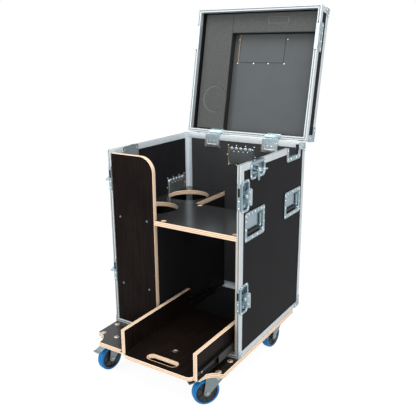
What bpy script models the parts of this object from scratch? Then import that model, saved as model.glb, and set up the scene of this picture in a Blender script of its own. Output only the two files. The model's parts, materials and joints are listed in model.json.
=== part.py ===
# Lighting flight case on a caster board: open front, shelf, pull-out tray and hinged lid.
# Case frame: X to the right, Y to the back, Z up; zero is the middle of the case's front lower edge.
# The whole case is then set on its casters, with the box around it centred on the world origin.

import math

import bmesh
import bpy
from mathutils import Matrix, Vector

MM = 0.001
MICRON_DIGITS = 6

# Case body
WIDTH = 570 * MM
DEPTH = 530 * MM
HEIGHT = 706 * MM
PLY = 9.5 * MM
SHEET = 1.8 * MM
FLANGE = 22 * MM
SEAT = 0.3 * MM

# Front opening: fascia, divider and shelf
FASCIA_THICK = 18 * MM
FASCIA_WIDTH = 205.8 * MM
FASCIA_INSET = 3 * MM
FASCIA_TOP_DROP = 12 * MM
FASCIA_CORNER = 58 * MM
DIVIDER_THICK = 9.5 * MM
SHELF_THICK = 18 * MM
SHELF_TOP = 460 * MM
SHELF_INSET = 5 * MM
SHELF_SIDE_ROOM = 3.9 * MM
SHELF_REACH = 283 * MM
SHELF_HOLE = 172 * MM
SHELF_HOLE_SIDE = 107 * MM
SHELF_HOLE_FROM_FRONT = 150 * MM
SHELF_HOLE_FROM_BACK = 152 * MM
SHELF_POCKET = 20 * MM
SHELF_POCKET_DEEP = 9 * MM
SHELF_POCKET_EDGE = 16 * MM
LINING_THICK = 5.5 * MM

# Tray on its slides
TRAY_LIFT = 10.8 * MM
TRAY_WALL = 15 * MM
TRAY_WALL_HEIGHT = 99.5 * MM
TRAY_LENGTH = 416 * MM
TRAY_LIP = 16 * MM
TRAY_CORNER = 20 * MM
TRAY_INSET = 2 * MM
TRAY_OUT = 238 * MM
TRAY_SLOT = 124 * MM
TRAY_SLOT_HIGH = 34 * MM
TRAY_SLOT_BACK = 42 * MM
TRAY_HOLE = 20 * MM
TRAY_HOLE_BACK = 118 * MM
SLIDE_ROOM = 13 * MM
SLIDE_HIGH = 35 * MM
SLIDE_SHEET = 1.2 * MM
SLIDE_LENGTH = 400 * MM
SLIDE_ABOVE_FLOOR = 24.5 * MM
SLIDE_PLAY = 0.5 * MM
SLIDE_NEST = 1.8 * MM

# Lid
LID_DEPTH = 85 * MM
LID_GAP = 0.8 * MM
LID_OPEN = math.radians(101)
FOAM_THICK = 27 * MM
FOAM_SIDE = 133 * MM
FOAM_FRONT = 82 * MM
FOAM_SIDE_GAP = 13 * MM
LABEL_WIDE = 209 * MM
LABEL_LONG = 115 * MM
LABEL_DEEP = 6 * MM
LABEL_RIM = 14 * MM
LABEL_GAP = 1 * MM

# Recessed hardware
DISH_SHEET = 1.2 * MM
DISH_CORNER = 7 * MM
HANDLE_WIDE = 148 * MM
HANDLE_HIGH = 104 * MM
HANDLE_TUB_WIDE = 122 * MM
HANDLE_TUB_HIGH = 72 * MM
HANDLE_DEEP = 15 * MM
BAIL_ROD = 3.5 * MM
BAIL_GRIP = 6.2 * MM
BAIL_GRIP_LONG = 92 * MM
BAIL_ARM = 50 * MM
BAIL_BEND = 9 * MM
BAIL_PIVOT_UP = 24 * MM
BAIL_PIVOT_IN = 7 * MM
SIDE_HANDLE_DROP = 222 * MM
SIDE_HANDLE_FROM_FRONT = 105 * MM
SIDE_HANDLE_FROM_BACK = 107 * MM
REAR_HANDLE_DROP = 81 * MM

LATCH_LONG = 112 * MM
LATCH_WIDE = 60 * MM
LATCH_TUB_LONG = 92 * MM
LATCH_TUB_WIDE = 42 * MM
LATCH_DEEP = 14 * MM
LATCH_EDGE = 2 * MM
LATCH_BOSS = 11 * MM
LATCH_HOOK_REACH = 40 * MM
LATCH_HOOK_WIDE = 16 * MM
LATCH_HOOK_THICK = 2.2 * MM
LATCH_HOOK_RISE = 2 * MM
WING_LONG = 50 * MM
WING_HIGH = 21 * MM
WING_THICK = 2.6 * MM
WING_HEAD = 7 * MM
KEEPER_WIDE = 40 * MM
KEEPER_THICK = 1.4 * MM
LOW_LATCH_RISE = 225 * MM
HIGH_LATCH_DROP = 109 * MM
TOP_LATCH_Y = 120 * MM

HINGE_WIDE = 92 * MM
HINGE_HIGH = 50 * MM
HINGE_TUB_WIDE = 74 * MM
HINGE_TUB_HIGH = 38 * MM
HINGE_DEEP = 18 * MM
HINGE_EDGE = 4 * MM
HINGE_OUT = 4.8 * MM
HINGE_BARREL = 3.6 * MM
HINGE_KNUCKLE = 28 * MM
HINGE_OUTER_KNUCKLE = 14 * MM
HINGE_WEB = 4 * MM
HINGES_X = (-140 * MM, 136 * MM)

# Cable notch in the top edge of the right side
NOTCH_FROM_BACK = 63 * MM
NOTCH_LONG = 93 * MM
NOTCH_DEEP = 36 * MM
NOTCH_BAND = 18 * MM

# Caster board and casters
BOARD_THICK = 18 * MM
BOARD_FRONT = 165 * MM
BOARD_SCALLOP = 58 * MM
CASTER_HEIGHT = 128 * MM
CASTER_INSET = 103 * MM
CASTER_FROM_SIDE = 55 * MM
PLATE_LONG = 100 * MM
PLATE_WIDE = 85 * MM
PLATE_THICK = 2.5 * MM
RACE_RADIUS = 29 * MM
RACE_HIGH = 6.5 * MM
HEAD_RADIUS = 31 * MM
HEAD_HIGH = 6.4 * MM
WHEEL_RADIUS = 50 * MM
WHEEL_WIDTH = 32 * MM
HUB_RADIUS = 16 * MM
HUB_DRAFT = 2 * MM
WEB_THICK = 17.6 * MM
RIM_RADIUS = 38 * MM
RIM_DRAFT = 4 * MM
RIM_INSET = 2 * MM
TYRE_SHOULDER_IN = 5 * MM
TYRE_SHOULDER_INSET = 1 * MM
TYRE_CROWN_IN = 1.2 * MM
TYRE_CROWN_INSET = 5 * MM
TYRE_FLAT_INSET = 10 * MM
AXLE_RADIUS = 6 * MM
AXLE_STUB = 3 * MM
TRAIL = 42 * MM
CHEEK_THICK = 3 * MM
CHEEK_ROOM = 1 * MM
CHEEK_FOOT = 13 * MM
CROWN_HIGH = 4 * MM
CROWN_BACK = 27.9 * MM
PEDAL_WIDE = 30 * MM
PEDAL_THICK = 3 * MM
PEDAL_LONG = 68 * MM
PEDAL_FLAT = 26 * MM
PEDAL_TREAD = 12 * MM
PEDAL_DROP = 12 * MM
PEDAL_PIN = 4 * MM
PEDAL_PIN_TRAIL = 40 * MM
PEDAL_PIN_RISE = 6.6 * MM
# Turn of each caster about its king pin, from trailing straight to the front
CASTERS = {
    "front_left": (-1, 0, math.radians(-9)),
    "front_right": (1, 0, math.radians(-36)),
    "rear_left": (-1, 1, math.radians(14)),
    "rear_right": (1, 1, math.radians(-6)),
}

# Steps of round shapes
ROUND_STEPS = 32
BOSS_STEPS = 24
PIN_STEPS = 16
WIDE_ARC_STEPS = 8
BEND_STEPS = 6
ROD_BEND_STEPS = 4
CORNER_STEPS = 3
SHARP_ANGLE = math.radians(35)

# Sizes that follow from the ones above
HALF = WIDTH / 2
SKIN = SHEET + SEAT
CAP = 2 * SKIN + PLY
PANEL_IN = HALF - SKIN - PLY
FLANGE_IN = HALF - CAP
BACK_IN = DEPTH - SKIN - PLY
FLANGE_BACK = DEPTH - CAP
FLOOR_TOP = SKIN + PLY
SILL_TOP = CAP
DIVIDER_RIGHT = FASCIA_WIDTH - HALF
FASCIA_BACK = FASCIA_INSET + FASCIA_THICK
TRAY_FLOOR_Z = FLOOR_TOP + TRAY_LIFT
TRAY_LEFT = DIVIDER_RIGHT + SLIDE_ROOM
SLIDE_RIGHT_X = FLANGE_IN - SEAT - LINING_THICK
TRAY_RIGHT = SLIDE_RIGHT_X - SLIDE_ROOM
TRAY_WALL_FRONT = TRAY_INSET + TRAY_LIP
SLIDE_Z = TRAY_FLOOR_Z + SLIDE_ABOVE_FLOOR
LID_BASE = HEIGHT + LID_GAP
LID_TOP = LID_BASE + LID_DEPTH
LID_INNER_TOP = LID_TOP - SKIN - PLY
HINGE_Y = DEPTH + HINGE_OUT
HINGE_Z = HEIGHT + LID_GAP / 2
SHELF_HOLES_Y = (SHELF_HOLE_FROM_FRONT, DEPTH - SHELF_HOLE_FROM_BACK)
SIDE_HANDLE_Z = HEIGHT - SIDE_HANDLE_DROP
SIDE_HANDLES_Y = (SIDE_HANDLE_FROM_FRONT, DEPTH - SIDE_HANDLE_FROM_BACK)
REAR_HANDLE_Z = HEIGHT - REAR_HANDLE_DROP
LATCH_FROM_EDGE = LATCH_EDGE + LATCH_WIDE / 2
FRONT_LATCHES_Z = (LOW_LATCH_RISE, HEIGHT - HIGH_LATCH_DROP)
NOTCH_BACK = DEPTH - NOTCH_FROM_BACK
NOTCH_FRONT = NOTCH_BACK - NOTCH_LONG
NOTCH_Z = HEIGHT - NOTCH_DEEP
CASTER_SIDE = HALF - CASTER_FROM_SIDE
BOARD_TOP = -SEAT
BOARD_BOTTOM = BOARD_TOP - BOARD_THICK
RACE_BOTTOM = BOARD_BOTTOM - PLATE_THICK - RACE_HIGH
HEAD_TOP = RACE_BOTTOM - SEAT
HEAD_BOTTOM = HEAD_TOP - HEAD_HIGH
GROUND = BOARD_BOTTOM - CASTER_HEIGHT
AXLE_Z = GROUND + WHEEL_RADIUS
CHEEK_IN = WHEEL_WIDTH / 2 + CHEEK_ROOM
CHEEK_OUT = CHEEK_IN + CHEEK_THICK
FRONT_REACH = TRAY_INSET - TRAY_OUT
LID_REACH = DEPTH + HINGE_OUT
BACK_REACH = HINGE_Y - LID_REACH * math.cos(LID_OPEN) + (LID_DEPTH + LID_GAP / 2) * math.sin(LID_OPEN)
CASE_ORIGIN = Vector((0, -(FRONT_REACH + BACK_REACH) / 2, -GROUND))

# How a flat outline is turned: it lies flat, faces the front, or faces the right side
FLAT = Matrix.Identity(3)
FACING_FRONT = Matrix(((1, 0, 0), (0, 0, -1), (0, 1, 0)))
FACING_RIGHT = Matrix(((0, 0, 1), (1, 0, 0), (0, 1, 0)))

# Colours
BLACK_LAMINATE = ("black_laminate", (0.014, 0.014, 0.016), 0.55, 0.0)
BROWN_PLY = ("brown_phenolic_ply", (0.020, 0.011, 0.009), 0.5, 0.0)
SHELF_BOARD = ("shelf_board", (0.035, 0.036, 0.038), 0.4, 0.0)
ALUMINIUM = ("aluminium", (0.75, 0.76, 0.77), 0.35, 1.0)
ZINC_STEEL = ("zinc_steel", (0.60, 0.63, 0.66), 0.3, 1.0)
BLACK_STEEL = ("black_steel", (0.02, 0.02, 0.022), 0.35, 0.6)
BLACK_GRIP = ("black_grip", (0.012, 0.012, 0.013), 0.6, 0.0)
GREY_FOAM = ("grey_foam", (0.10, 0.105, 0.10), 0.95, 0.0)
LID_BOARD = ("lid_board", (0.10, 0.105, 0.11), 0.5, 0.0)
BLUE_TYRE = ("blue_tyre", (0.0, 0.14, 0.42), 0.5, 0.0)
DECK_BOARD = ("deck_board", (0.045, 0.047, 0.05), 0.5, 0.0)


class Carrier:
    """An empty that carries pieces; home is where its centre lies on the closed, shut case."""

    def __init__(self, name, home, parent=None, rest_move=(0, 0, 0), rest_turn=(0, 0, 0)):
        self.home = Vector(home)
        self.rest_move = Vector(rest_move)
        self.rest_turn = rest_turn
        self.empty = bpy.data.objects.new(name, None)
        parts.objects.link(self.empty)
        self.empty.location = self.home
        if parent is not None:
            self.empty.parent = parent.empty
            self.empty.location = self.home - parent.home
        carriers.append(self)

    def move_to_rest(self):
        self.empty.location += self.rest_move
        self.empty.rotation_euler = self.rest_turn


def clear_scene():
    for old in list(bpy.data.objects):
        bpy.data.objects.remove(old, do_unlink=True)


def new_collection(name):
    collection = bpy.data.collections.new(name)
    bpy.context.scene.collection.children.link(collection)
    return collection


def material(finish):
    name, colour, roughness, metallic = finish
    found = bpy.data.materials.get(name)
    if found:
        return found
    made = bpy.data.materials.new(name)
    made.use_nodes = True
    shader = made.node_tree.nodes["Principled BSDF"]
    shader.inputs["Base Color"].default_value = (*colour, 1)
    shader.inputs["Roughness"].default_value = roughness
    shader.inputs["Metallic"].default_value = metallic
    return made


def add_object(name, mesh, carrier, place, turn, finish):
    """An object with a finish is a piece; one without is a hidden cutter or helper."""
    made = bpy.data.objects.new(name, mesh)
    made.parent = carrier.empty
    made.location = Vector(place) - carrier.home
    made.rotation_euler = turn.to_euler()
    if finish is None:
        tools.objects.link(made)
        made.hide_render = True
        made.display_type = "WIRE"
    else:
        parts.objects.link(made)
        if not mesh.materials:
            mesh.materials.append(material(finish))
    return made


def add_shape(name, bm, place, turn, carrier, finish):
    """Sets a shape in the case's frame, on whole microns, so that flush faces are flush."""
    bmesh.ops.transform(bm, matrix=Matrix.Translation(place) @ turn.to_4x4(), verts=bm.verts)
    for vert in bm.verts:
        vert.co = [round(value, MICRON_DIGITS) for value in vert.co]
    bmesh.ops.recalc_face_normals(bm, faces=bm.faces)
    mesh = bpy.data.meshes.new(name)
    bm.to_mesh(mesh)
    bm.free()
    return add_object(name, mesh, carrier, (0, 0, 0), FLAT, finish)


def block(name, low, high, carrier, finish=None):
    """A box between two corners."""
    low, high = Vector(low), Vector(high)
    bm = bmesh.new()
    bmesh.ops.create_cube(bm, size=1)
    bmesh.ops.scale(bm, vec=high - low, verts=bm.verts)
    return add_shape(name, bm, (low + high) / 2, FLAT, carrier, finish)


def cylinder(name, radius, low, high, centre, carrier, turn=FLAT, finish=None, steps=ROUND_STEPS):
    """A cylinder from low to high along its own Z, its centre line through the given centre."""
    bm = bmesh.new()
    bmesh.ops.create_cone(bm, cap_ends=True, segments=steps, radius1=radius, radius2=radius,
                          depth=high - low)
    bmesh.ops.translate(bm, vec=(0, 0, (low + high) / 2), verts=bm.verts)
    return add_shape(name, bm, centre, turn, carrier, finish)


def arc(centre, radius, start, end, steps=CORNER_STEPS):
    """Points along an arc, with angles in degrees."""
    points = []
    for step in range(steps + 1):
        angle = math.radians(start + (end - start) * step / steps)
        points.append((centre[0] + radius * math.cos(angle), centre[1] + radius * math.sin(angle)))
    return points


def circle(centre, radius, steps=ROUND_STEPS):
    return arc(centre, radius, 0, 360, steps)[:-1]


def rounded_rectangle(width, height, radius, centre=(0, 0)):
    across = width / 2 - radius
    up = height / 2 - radius
    x, y = centre
    return (arc((x + across, y + up), radius, 0, 90) + arc((x - across, y + up), radius, 90, 180)
            + arc((x - across, y - up), radius, 180, 270) + arc((x + across, y - up), radius, 270, 360))


def rectangle(left, low, right, high):
    return [(left, low), (right, low), (right, high), (left, high)]


def plate(name, loops, thick, place, carrier, turn=FLAT, finish=None):
    """A flat outline with its holes, extruded from the place along its own Z."""
    curve = bpy.data.curves.new(name, "CURVE")
    curve.dimensions = "2D"
    curve.fill_mode = "BOTH"
    curve.extrude = thick / 2
    for loop in loops:
        spline = curve.splines.new("POLY")
        spline.points.add(len(loop) - 1)
        for point, (x, y) in zip(spline.points, loop):
            point.co = (x, y, 0, 1)
        spline.use_cyclic_u = True
    return mesh_object_from_curve(name, curve, (0, 0, thick / 2), place, carrier, turn, finish)


def rod(name, points, radius, place, carrier, turn=FLAT, finish=None):
    """A round rod along its points."""
    curve = bpy.data.curves.new(name, "CURVE")
    curve.dimensions = "3D"
    curve.bevel_depth = radius
    curve.bevel_resolution = 2
    curve.use_fill_caps = True
    spline = curve.splines.new("POLY")
    spline.points.add(len(points) - 1)
    for point, where in zip(spline.points, points):
        point.co = (*where, 1)
    return mesh_object_from_curve(name, curve, (0, 0, 0), place, carrier, turn, finish)


def mesh_object_from_curve(name, curve, shift, place, carrier, turn, finish):
    """Turns a curve into a closed mesh object and removes the curve."""
    drawn = bpy.data.objects.new(name + "_curve", curve)
    tools.objects.link(drawn)
    seen = drawn.evaluated_get(bpy.context.evaluated_depsgraph_get())
    mesh = bpy.data.meshes.new_from_object(seen)
    bpy.data.objects.remove(drawn, do_unlink=True)
    bpy.data.curves.remove(curve)
    bm = bmesh.new()
    bm.from_mesh(mesh)
    bpy.data.meshes.remove(mesh)
    bmesh.ops.remove_doubles(bm, verts=bm.verts, dist=1e-6)
    bmesh.ops.translate(bm, vec=shift, verts=bm.verts)
    return add_shape(name, bm, place, turn, carrier, finish)


def combine(target, helper, operation):
    change = target.modifiers.new(helper.name, "BOOLEAN")
    change.operation = operation
    change.solver = "EXACT"
    change.object = helper
    return target


def weld(target, *helpers):
    for helper in helpers:
        combine(target, helper, "UNION")
    return target


def drill(target, *cutters):
    for cutter in cutters:
        combine(target, cutter, "DIFFERENCE")
    return target


def finish_mesh(target):
    """Applies an object's modifiers while it still lies square, and frees its helpers."""
    seen = target.evaluated_get(bpy.context.evaluated_depsgraph_get())
    mesh = bpy.data.meshes.new_from_object(seen)
    target.modifiers.clear()
    target.data = mesh
    return mesh


def facing(outward, towards):
    """Turns hardware so that its face looks outward and its upper side lies towards a direction."""
    out, up = Vector(outward), Vector(towards)
    across = up.cross(out)
    return Matrix((across, up, out)).transposed()


def master(build):
    """Builds a repeated piece once, at the case's zero, and keeps its mesh only."""
    made = build()
    mesh = finish_mesh(made)
    bpy.data.objects.remove(made, do_unlink=True)
    mesh.shade_smooth()
    mesh.set_sharp_from_angle(angle=SHARP_ANGLE)
    return mesh


# Edge profiles

def three_sides(outer, inner):
    """A band along the left, back and right of the case, open at the front."""
    left, right = outer - HALF, HALF - outer
    inside_left, inside_right = inner - HALF, HALF - inner
    return [(left, 0), (inside_left, 0), (inside_left, DEPTH - inner), (inside_right, DEPTH - inner),
            (inside_right, 0), (right, 0), (right, DEPTH - outer), (left, DEPTH - outer)]


def all_sides(outer, inner):
    """A band all round, as an outline and its hole."""
    return [rectangle(outer - HALF, outer, HALF - outer, DEPTH - outer),
            rectangle(inner - HALF, inner, HALF - inner, DEPTH - inner)]


def band(name, loops, low, high, carrier, finish=None):
    return plate(name, loops, high - low, (0, 0, low), carrier, FLAT, finish)


def angle_outline(side, offset, depth_offset, width, front=False):
    """An L section at a rear or front corner, with its corner at the given offsets."""
    corner = side * (HALF - offset)
    inner = corner - side * SHEET
    reach = corner - side * width
    if front:
        near, step = depth_offset, 1
    else:
        near, step = DEPTH - depth_offset, -1
    return [(corner, near), (reach, near), (reach, near + step * SHEET),
            (inner, near + step * SHEET), (inner, near + step * width), (corner, near + step * width)]


def build_edge_frame():
    frame = band("edge_frame", [three_sides(0, CAP)], HEIGHT - SHEET, HEIGHT, case, ALUMINIUM)
    pieces = [
        band("rim_outer", [three_sides(0, SHEET)], HEIGHT - FLANGE, HEIGHT, case),
        band("rim_inner", [three_sides(CAP - SHEET, CAP)], HEIGHT - FLANGE, HEIGHT, case),
        band("base_outer", [three_sides(0, SHEET)], 0, FLANGE, case),
        band("base_under", [three_sides(0, FLANGE)], 0, SHEET, case),
        block("sill_front", (-HALF, 0, 0), (HALF, SHEET, SILL_TOP), case),
        block("sill_under", (-HALF, 0, 0), (HALF, FLANGE, SHEET), case),
        block("sill_upper", (SKIN - HALF + PLY + SEAT, 0, SILL_TOP - SHEET),
              (PANEL_IN - SEAT, FLANGE, SILL_TOP), case),
        block("inner_rail_upright", (-FLANGE_IN - SHEET, FLANGE_BACK, FLOOR_TOP + SEAT),
              (FLANGE_IN + SHEET, FLANGE_BACK + SHEET, FLOOR_TOP + SEAT + FLANGE), case),
        block("inner_rail_flat", (-FLANGE_IN - SHEET, BACK_IN - SEAT - FLANGE, FLOOR_TOP + SEAT),
              (FLANGE_IN + SHEET, FLANGE_BACK + SHEET, FLOOR_TOP + SEAT + SHEET), case),
    ]
    for side in (-1, 1):
        tag = "left" if side < 0 else "right"
        low, high = sorted((side * FLANGE_IN, side * HALF))
        pieces += [
            block(tag + "_base_end", (low, 0, 0), (high, SHEET, FLANGE), case),
            block(tag + "_rim_end", (low, 0, HEIGHT - FLANGE), (high, SHEET, HEIGHT), case),
            plate(tag + "_rear_angle", [angle_outline(side, 0, 0, FLANGE)], HEIGHT, (0, 0, 0), case),
            plate(tag + "_inner_angle", [angle_outline(side, CAP - SHEET, CAP - SHEET, FLANGE)],
                  HEIGHT - FLOOR_TOP - SEAT, (0, 0, FLOOR_TOP + SEAT), case),
        ]
    liner = [(NOTCH_FRONT - SHEET, HEIGHT), (NOTCH_FRONT - SHEET, NOTCH_Z - SHEET),
             (NOTCH_BACK + SHEET, NOTCH_Z - SHEET), (NOTCH_BACK + SHEET, HEIGHT)]
    outer = [(NOTCH_FRONT - NOTCH_BAND, HEIGHT), (NOTCH_FRONT - NOTCH_BAND, NOTCH_Z - NOTCH_BAND),
             (NOTCH_BACK + NOTCH_BAND, NOTCH_Z - NOTCH_BAND), (NOTCH_BACK + NOTCH_BAND, HEIGHT)]
    pieces += [
        plate("notch_liner", [liner], CAP, (FLANGE_IN, 0, 0), case, FACING_RIGHT),
        plate("notch_band", [outer], SHEET, (HALF - SHEET, 0, 0), case, FACING_RIGHT),
    ]
    weld(frame, *pieces)
    drill(frame, block("notch_cut", (FLANGE_IN - CAP, NOTCH_FRONT, NOTCH_Z),
                       (HALF + CAP, NOTCH_BACK, HEIGHT + CAP), case))
    for side in (-1, 1):
        drill(frame, tub_cut("rim_latch_cut", side, TOP_LATCH_Y, HEIGHT - LATCH_FROM_EDGE,
                             LATCH_TUB_LONG, LATCH_TUB_WIDE))
    for x in HINGES_X:
        drill(frame, rear_cut("rim_hinge_cut", x, HEIGHT - HINGE_EDGE - HINGE_HIGH / 2,
                              HINGE_TUB_WIDE, HINGE_TUB_HIGH, case))


def tub_cut(name, side, y, z, along_y, along_z):
    """A cutter through a side wall for the tub of a dish."""
    low, high = sorted((side * (FLANGE_IN - CAP), side * (HALF + CAP)))
    y_half = along_y / 2 + SEAT
    z_half = along_z / 2 + SEAT
    return block(name, (low, y - y_half, z - z_half), (high, y + y_half, z + z_half), case)


def rear_cut(name, x, z, wide, high, carrier):
    """A cutter through the rear wall for the tub of a dish."""
    x_half = wide / 2 + SEAT
    z_half = high / 2 + SEAT
    return block(name, (x - x_half, FLANGE_BACK - CAP, z - z_half),
                 (x + x_half, DEPTH + CAP, z + z_half), carrier)


def build_front_posts():
    for side in (-1, 1):
        name = "left_front_post" if side < 0 else "right_front_post"
        outer, inner = side * HALF, side * FLANGE_IN
        outline = [(outer, 0), (inner, 0), (inner, FLANGE), (inner + side * SHEET, FLANGE),
                   (inner + side * SHEET, SHEET), (outer - side * SHEET, SHEET),
                   (outer - side * SHEET, FLANGE), (outer, FLANGE)]
        length = HEIGHT - 2 * FLANGE - 2 * SEAT
        post = plate(name, [outline], length, (0, 0, FLANGE + SEAT), case, FLAT, ALUMINIUM)
        for z in FRONT_LATCHES_Z:
            drill(post, tub_cut("post_latch_cut", side, LATCH_FROM_EDGE, z, LATCH_TUB_WIDE,
                                LATCH_TUB_LONG))


# Panels

def tub_hole(along, up, wide, high):
    """The outline of the hole that a tub needs, around its centre."""
    return rounded_rectangle(wide + 2 * SEAT, high + 2 * SEAT, DISH_CORNER, (along, up))


def build_body_panels():
    floor_outline = rectangle(SEAT - PANEL_IN, SKIN, PANEL_IN - SEAT, BACK_IN - SEAT)
    plate("floor_panel", [floor_outline], PLY, (0, 0, SKIN), case, FLAT, BLACK_LAMINATE)
    build_side_panels()
    hinge_z = HEIGHT - HINGE_EDGE - HINGE_HIGH / 2
    holes = [tub_hole(0, REAR_HANDLE_Z, HANDLE_TUB_WIDE, HANDLE_TUB_HIGH)]
    holes += [tub_hole(x, hinge_z, HINGE_TUB_WIDE, HINGE_TUB_HIGH) for x in HINGES_X]
    outline = rectangle(SEAT - PANEL_IN, SKIN, PANEL_IN - SEAT, HEIGHT - SKIN)
    plate("rear_panel", [outline] + holes, PLY, (0, DEPTH - SKIN, 0), case, FACING_FRONT, BLACK_LAMINATE)


def tub_space(side, outline, deep):
    """A cutter for what a tub of some depth needs in a side wall."""
    low, high = sorted((side * (HALF - deep - SEAT), side * (HALF + SEAT)))
    return plate("tub_space", [outline], high - low, (low, 0, 0), case, FACING_RIGHT)


def build_side_panels():
    for side in (-1, 1):
        name = "left_side_panel" if side < 0 else "right_side_panel"
        top = HEIGHT - SKIN
        outline = [(SKIN, SKIN), (DEPTH - SKIN, SKIN), (DEPTH - SKIN, top)]
        if side > 0:
            front, back = NOTCH_FRONT - SKIN, NOTCH_BACK + SKIN
            outline += [(back, top), (back, NOTCH_Z - SKIN), (front, NOTCH_Z - SKIN), (front, top)]
        outline.append((SKIN, top))
        x = PANEL_IN if side > 0 else -PANEL_IN - PLY
        panel = plate(name, [outline], PLY, (x, 0, 0), case, FACING_RIGHT, BLACK_LAMINATE)
        if side > 0:
            weld(panel, right_lining())
        tubs = [(y, SIDE_HANDLE_Z, HANDLE_TUB_WIDE, HANDLE_TUB_HIGH, HANDLE_DEEP) for y in SIDE_HANDLES_Y]
        tubs += [(LATCH_FROM_EDGE, z, LATCH_TUB_WIDE, LATCH_TUB_LONG, LATCH_DEEP) for z in FRONT_LATCHES_Z]
        tubs.append((TOP_LATCH_Y, HEIGHT - LATCH_FROM_EDGE, LATCH_TUB_LONG, LATCH_TUB_WIDE, LATCH_DEEP))
        for along, up, wide, high, deep in tubs:
            drill(panel, tub_space(side, tub_hole(along, up, wide, high), deep))


def right_lining():
    """The board inside the right wall that carries the shelf and a slide, rebated over the post."""
    low = SILL_TOP + SEAT
    high = SHELF_TOP - SHELF_THICK - SEAT
    front = FLANGE + SEAT
    back = FLANGE_BACK + SHEET - front
    inner, outer, root = SLIDE_RIGHT_X, FLANGE_IN - SEAT, PANEL_IN + PLY / 2
    outline = [(inner, SHELF_INSET), (outer, SHELF_INSET), (outer, front), (root, front), (root, back),
               (inner, back)]
    return plate("right_lining", [outline], high - low, (0, 0, low), case)


def build_fascia():
    left = SEAT - min(FLANGE_IN, HALF - LATCH_DEEP)
    right = DIVIDER_RIGHT
    low = SILL_TOP + SEAT
    high = HEIGHT - FASCIA_TOP_DROP
    corner = arc((right - FASCIA_CORNER, high - FASCIA_CORNER), FASCIA_CORNER, 0, 90, WIDE_ARC_STEPS)
    outline = [(left, low), (right, low)] + corner + [(left, high)]
    plate("fascia_board", [outline], FASCIA_THICK, (0, FASCIA_BACK, 0), case, FACING_FRONT, BROWN_PLY)


def build_divider_and_shelf():
    back = FLANGE_BACK - SEAT
    shelf_low = SHELF_TOP - SHELF_THICK
    block("divider_panel", (DIVIDER_RIGHT - DIVIDER_THICK, FASCIA_BACK + SEAT, SILL_TOP + 2 * SEAT),
          (DIVIDER_RIGHT, back, shelf_low - SEAT), case, BLACK_LAMINATE)
    side = PANEL_IN - SHELF_SIDE_ROOM
    step = DIVIDER_RIGHT + SEAT
    outline = [(-side, FASCIA_BACK + SEAT), (step, FASCIA_BACK + SEAT), (step, SHELF_INSET),
               (side, SHELF_INSET), (side, SHELF_REACH), (DIVIDER_RIGHT, SHELF_REACH),
               (DIVIDER_RIGHT, back), (-side, back)]
    hole_x = SHELF_HOLE_SIDE - HALF
    holes = [circle((hole_x, y), SHELF_HOLE / 2) for y in SHELF_HOLES_Y]
    shelf = plate("shelf_board", [outline] + holes, SHELF_THICK, (0, 0, shelf_low), case, FLAT, SHELF_BOARD)
    near = SHELF_INSET + SHELF_POCKET_EDGE
    far = SHELF_REACH - SHELF_POCKET_EDGE
    left = DIVIDER_RIGHT + 2 * SHELF_POCKET_EDGE
    right = side - SHELF_POCKET_EDGE
    for x, y in ((left, near), (left, far), (right, near)):
        drill(shelf, cylinder("pocket_cut", SHELF_POCKET / 2, SHELF_TOP - SHELF_POCKET_DEEP,
                              SHELF_TOP + SHELF_POCKET_DEEP, (x, y, 0), case, steps=PIN_STEPS))


# Tray and slides

def channel(web, reach, half_height, middle, toward, x):
    """A C section: its web lies at one offset and its lips reach to another."""
    near, far = x + toward * web, x + toward * reach
    skin = SLIDE_SHEET if reach > web else -SLIDE_SHEET
    inside = near + toward * skin
    low, high = middle - half_height, middle + half_height
    return [(near, low), (far, low), (far, low + SLIDE_SHEET), (inside, low + SLIDE_SHEET),
            (inside, high - SLIDE_SHEET), (far, high - SLIDE_SHEET), (far, high), (near, high)]


def build_slides():
    front = TRAY_WALL_FRONT
    back = front + SLIDE_LENGTH
    tray_web = SLIDE_ROOM - SEAT
    middle_web = SEAT + SLIDE_NEST
    case_half = SLIDE_HIGH / 2
    middle_half = case_half - SLIDE_SHEET - SLIDE_PLAY
    tray_half = middle_half - SLIDE_SHEET - SLIDE_PLAY
    middle_reach = tray_web - SLIDE_SHEET - SLIDE_PLAY
    case_reach = middle_reach - SLIDE_SHEET
    tray_reach = middle_web + SLIDE_SHEET + SLIDE_PLAY
    for tag, x, toward in (("left", DIVIDER_RIGHT, 1), ("right", SLIDE_RIGHT_X, -1)):
        members = (
            ("slide_case_" + tag, channel(SEAT, case_reach, case_half, SLIDE_Z, toward, x), case),
            ("slide_middle_" + tag, channel(middle_web, middle_reach, middle_half, SLIDE_Z, toward, x),
             slide_carrier),
            ("slide_tray_" + tag, channel(tray_web, tray_reach, tray_half, SLIDE_Z, toward, x),
             tray_carrier),
        )
        for name, outline, carrier in members:
            plate(name, [outline], SLIDE_LENGTH, (0, back, 0), carrier, FACING_FRONT, BLACK_STEEL)


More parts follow.
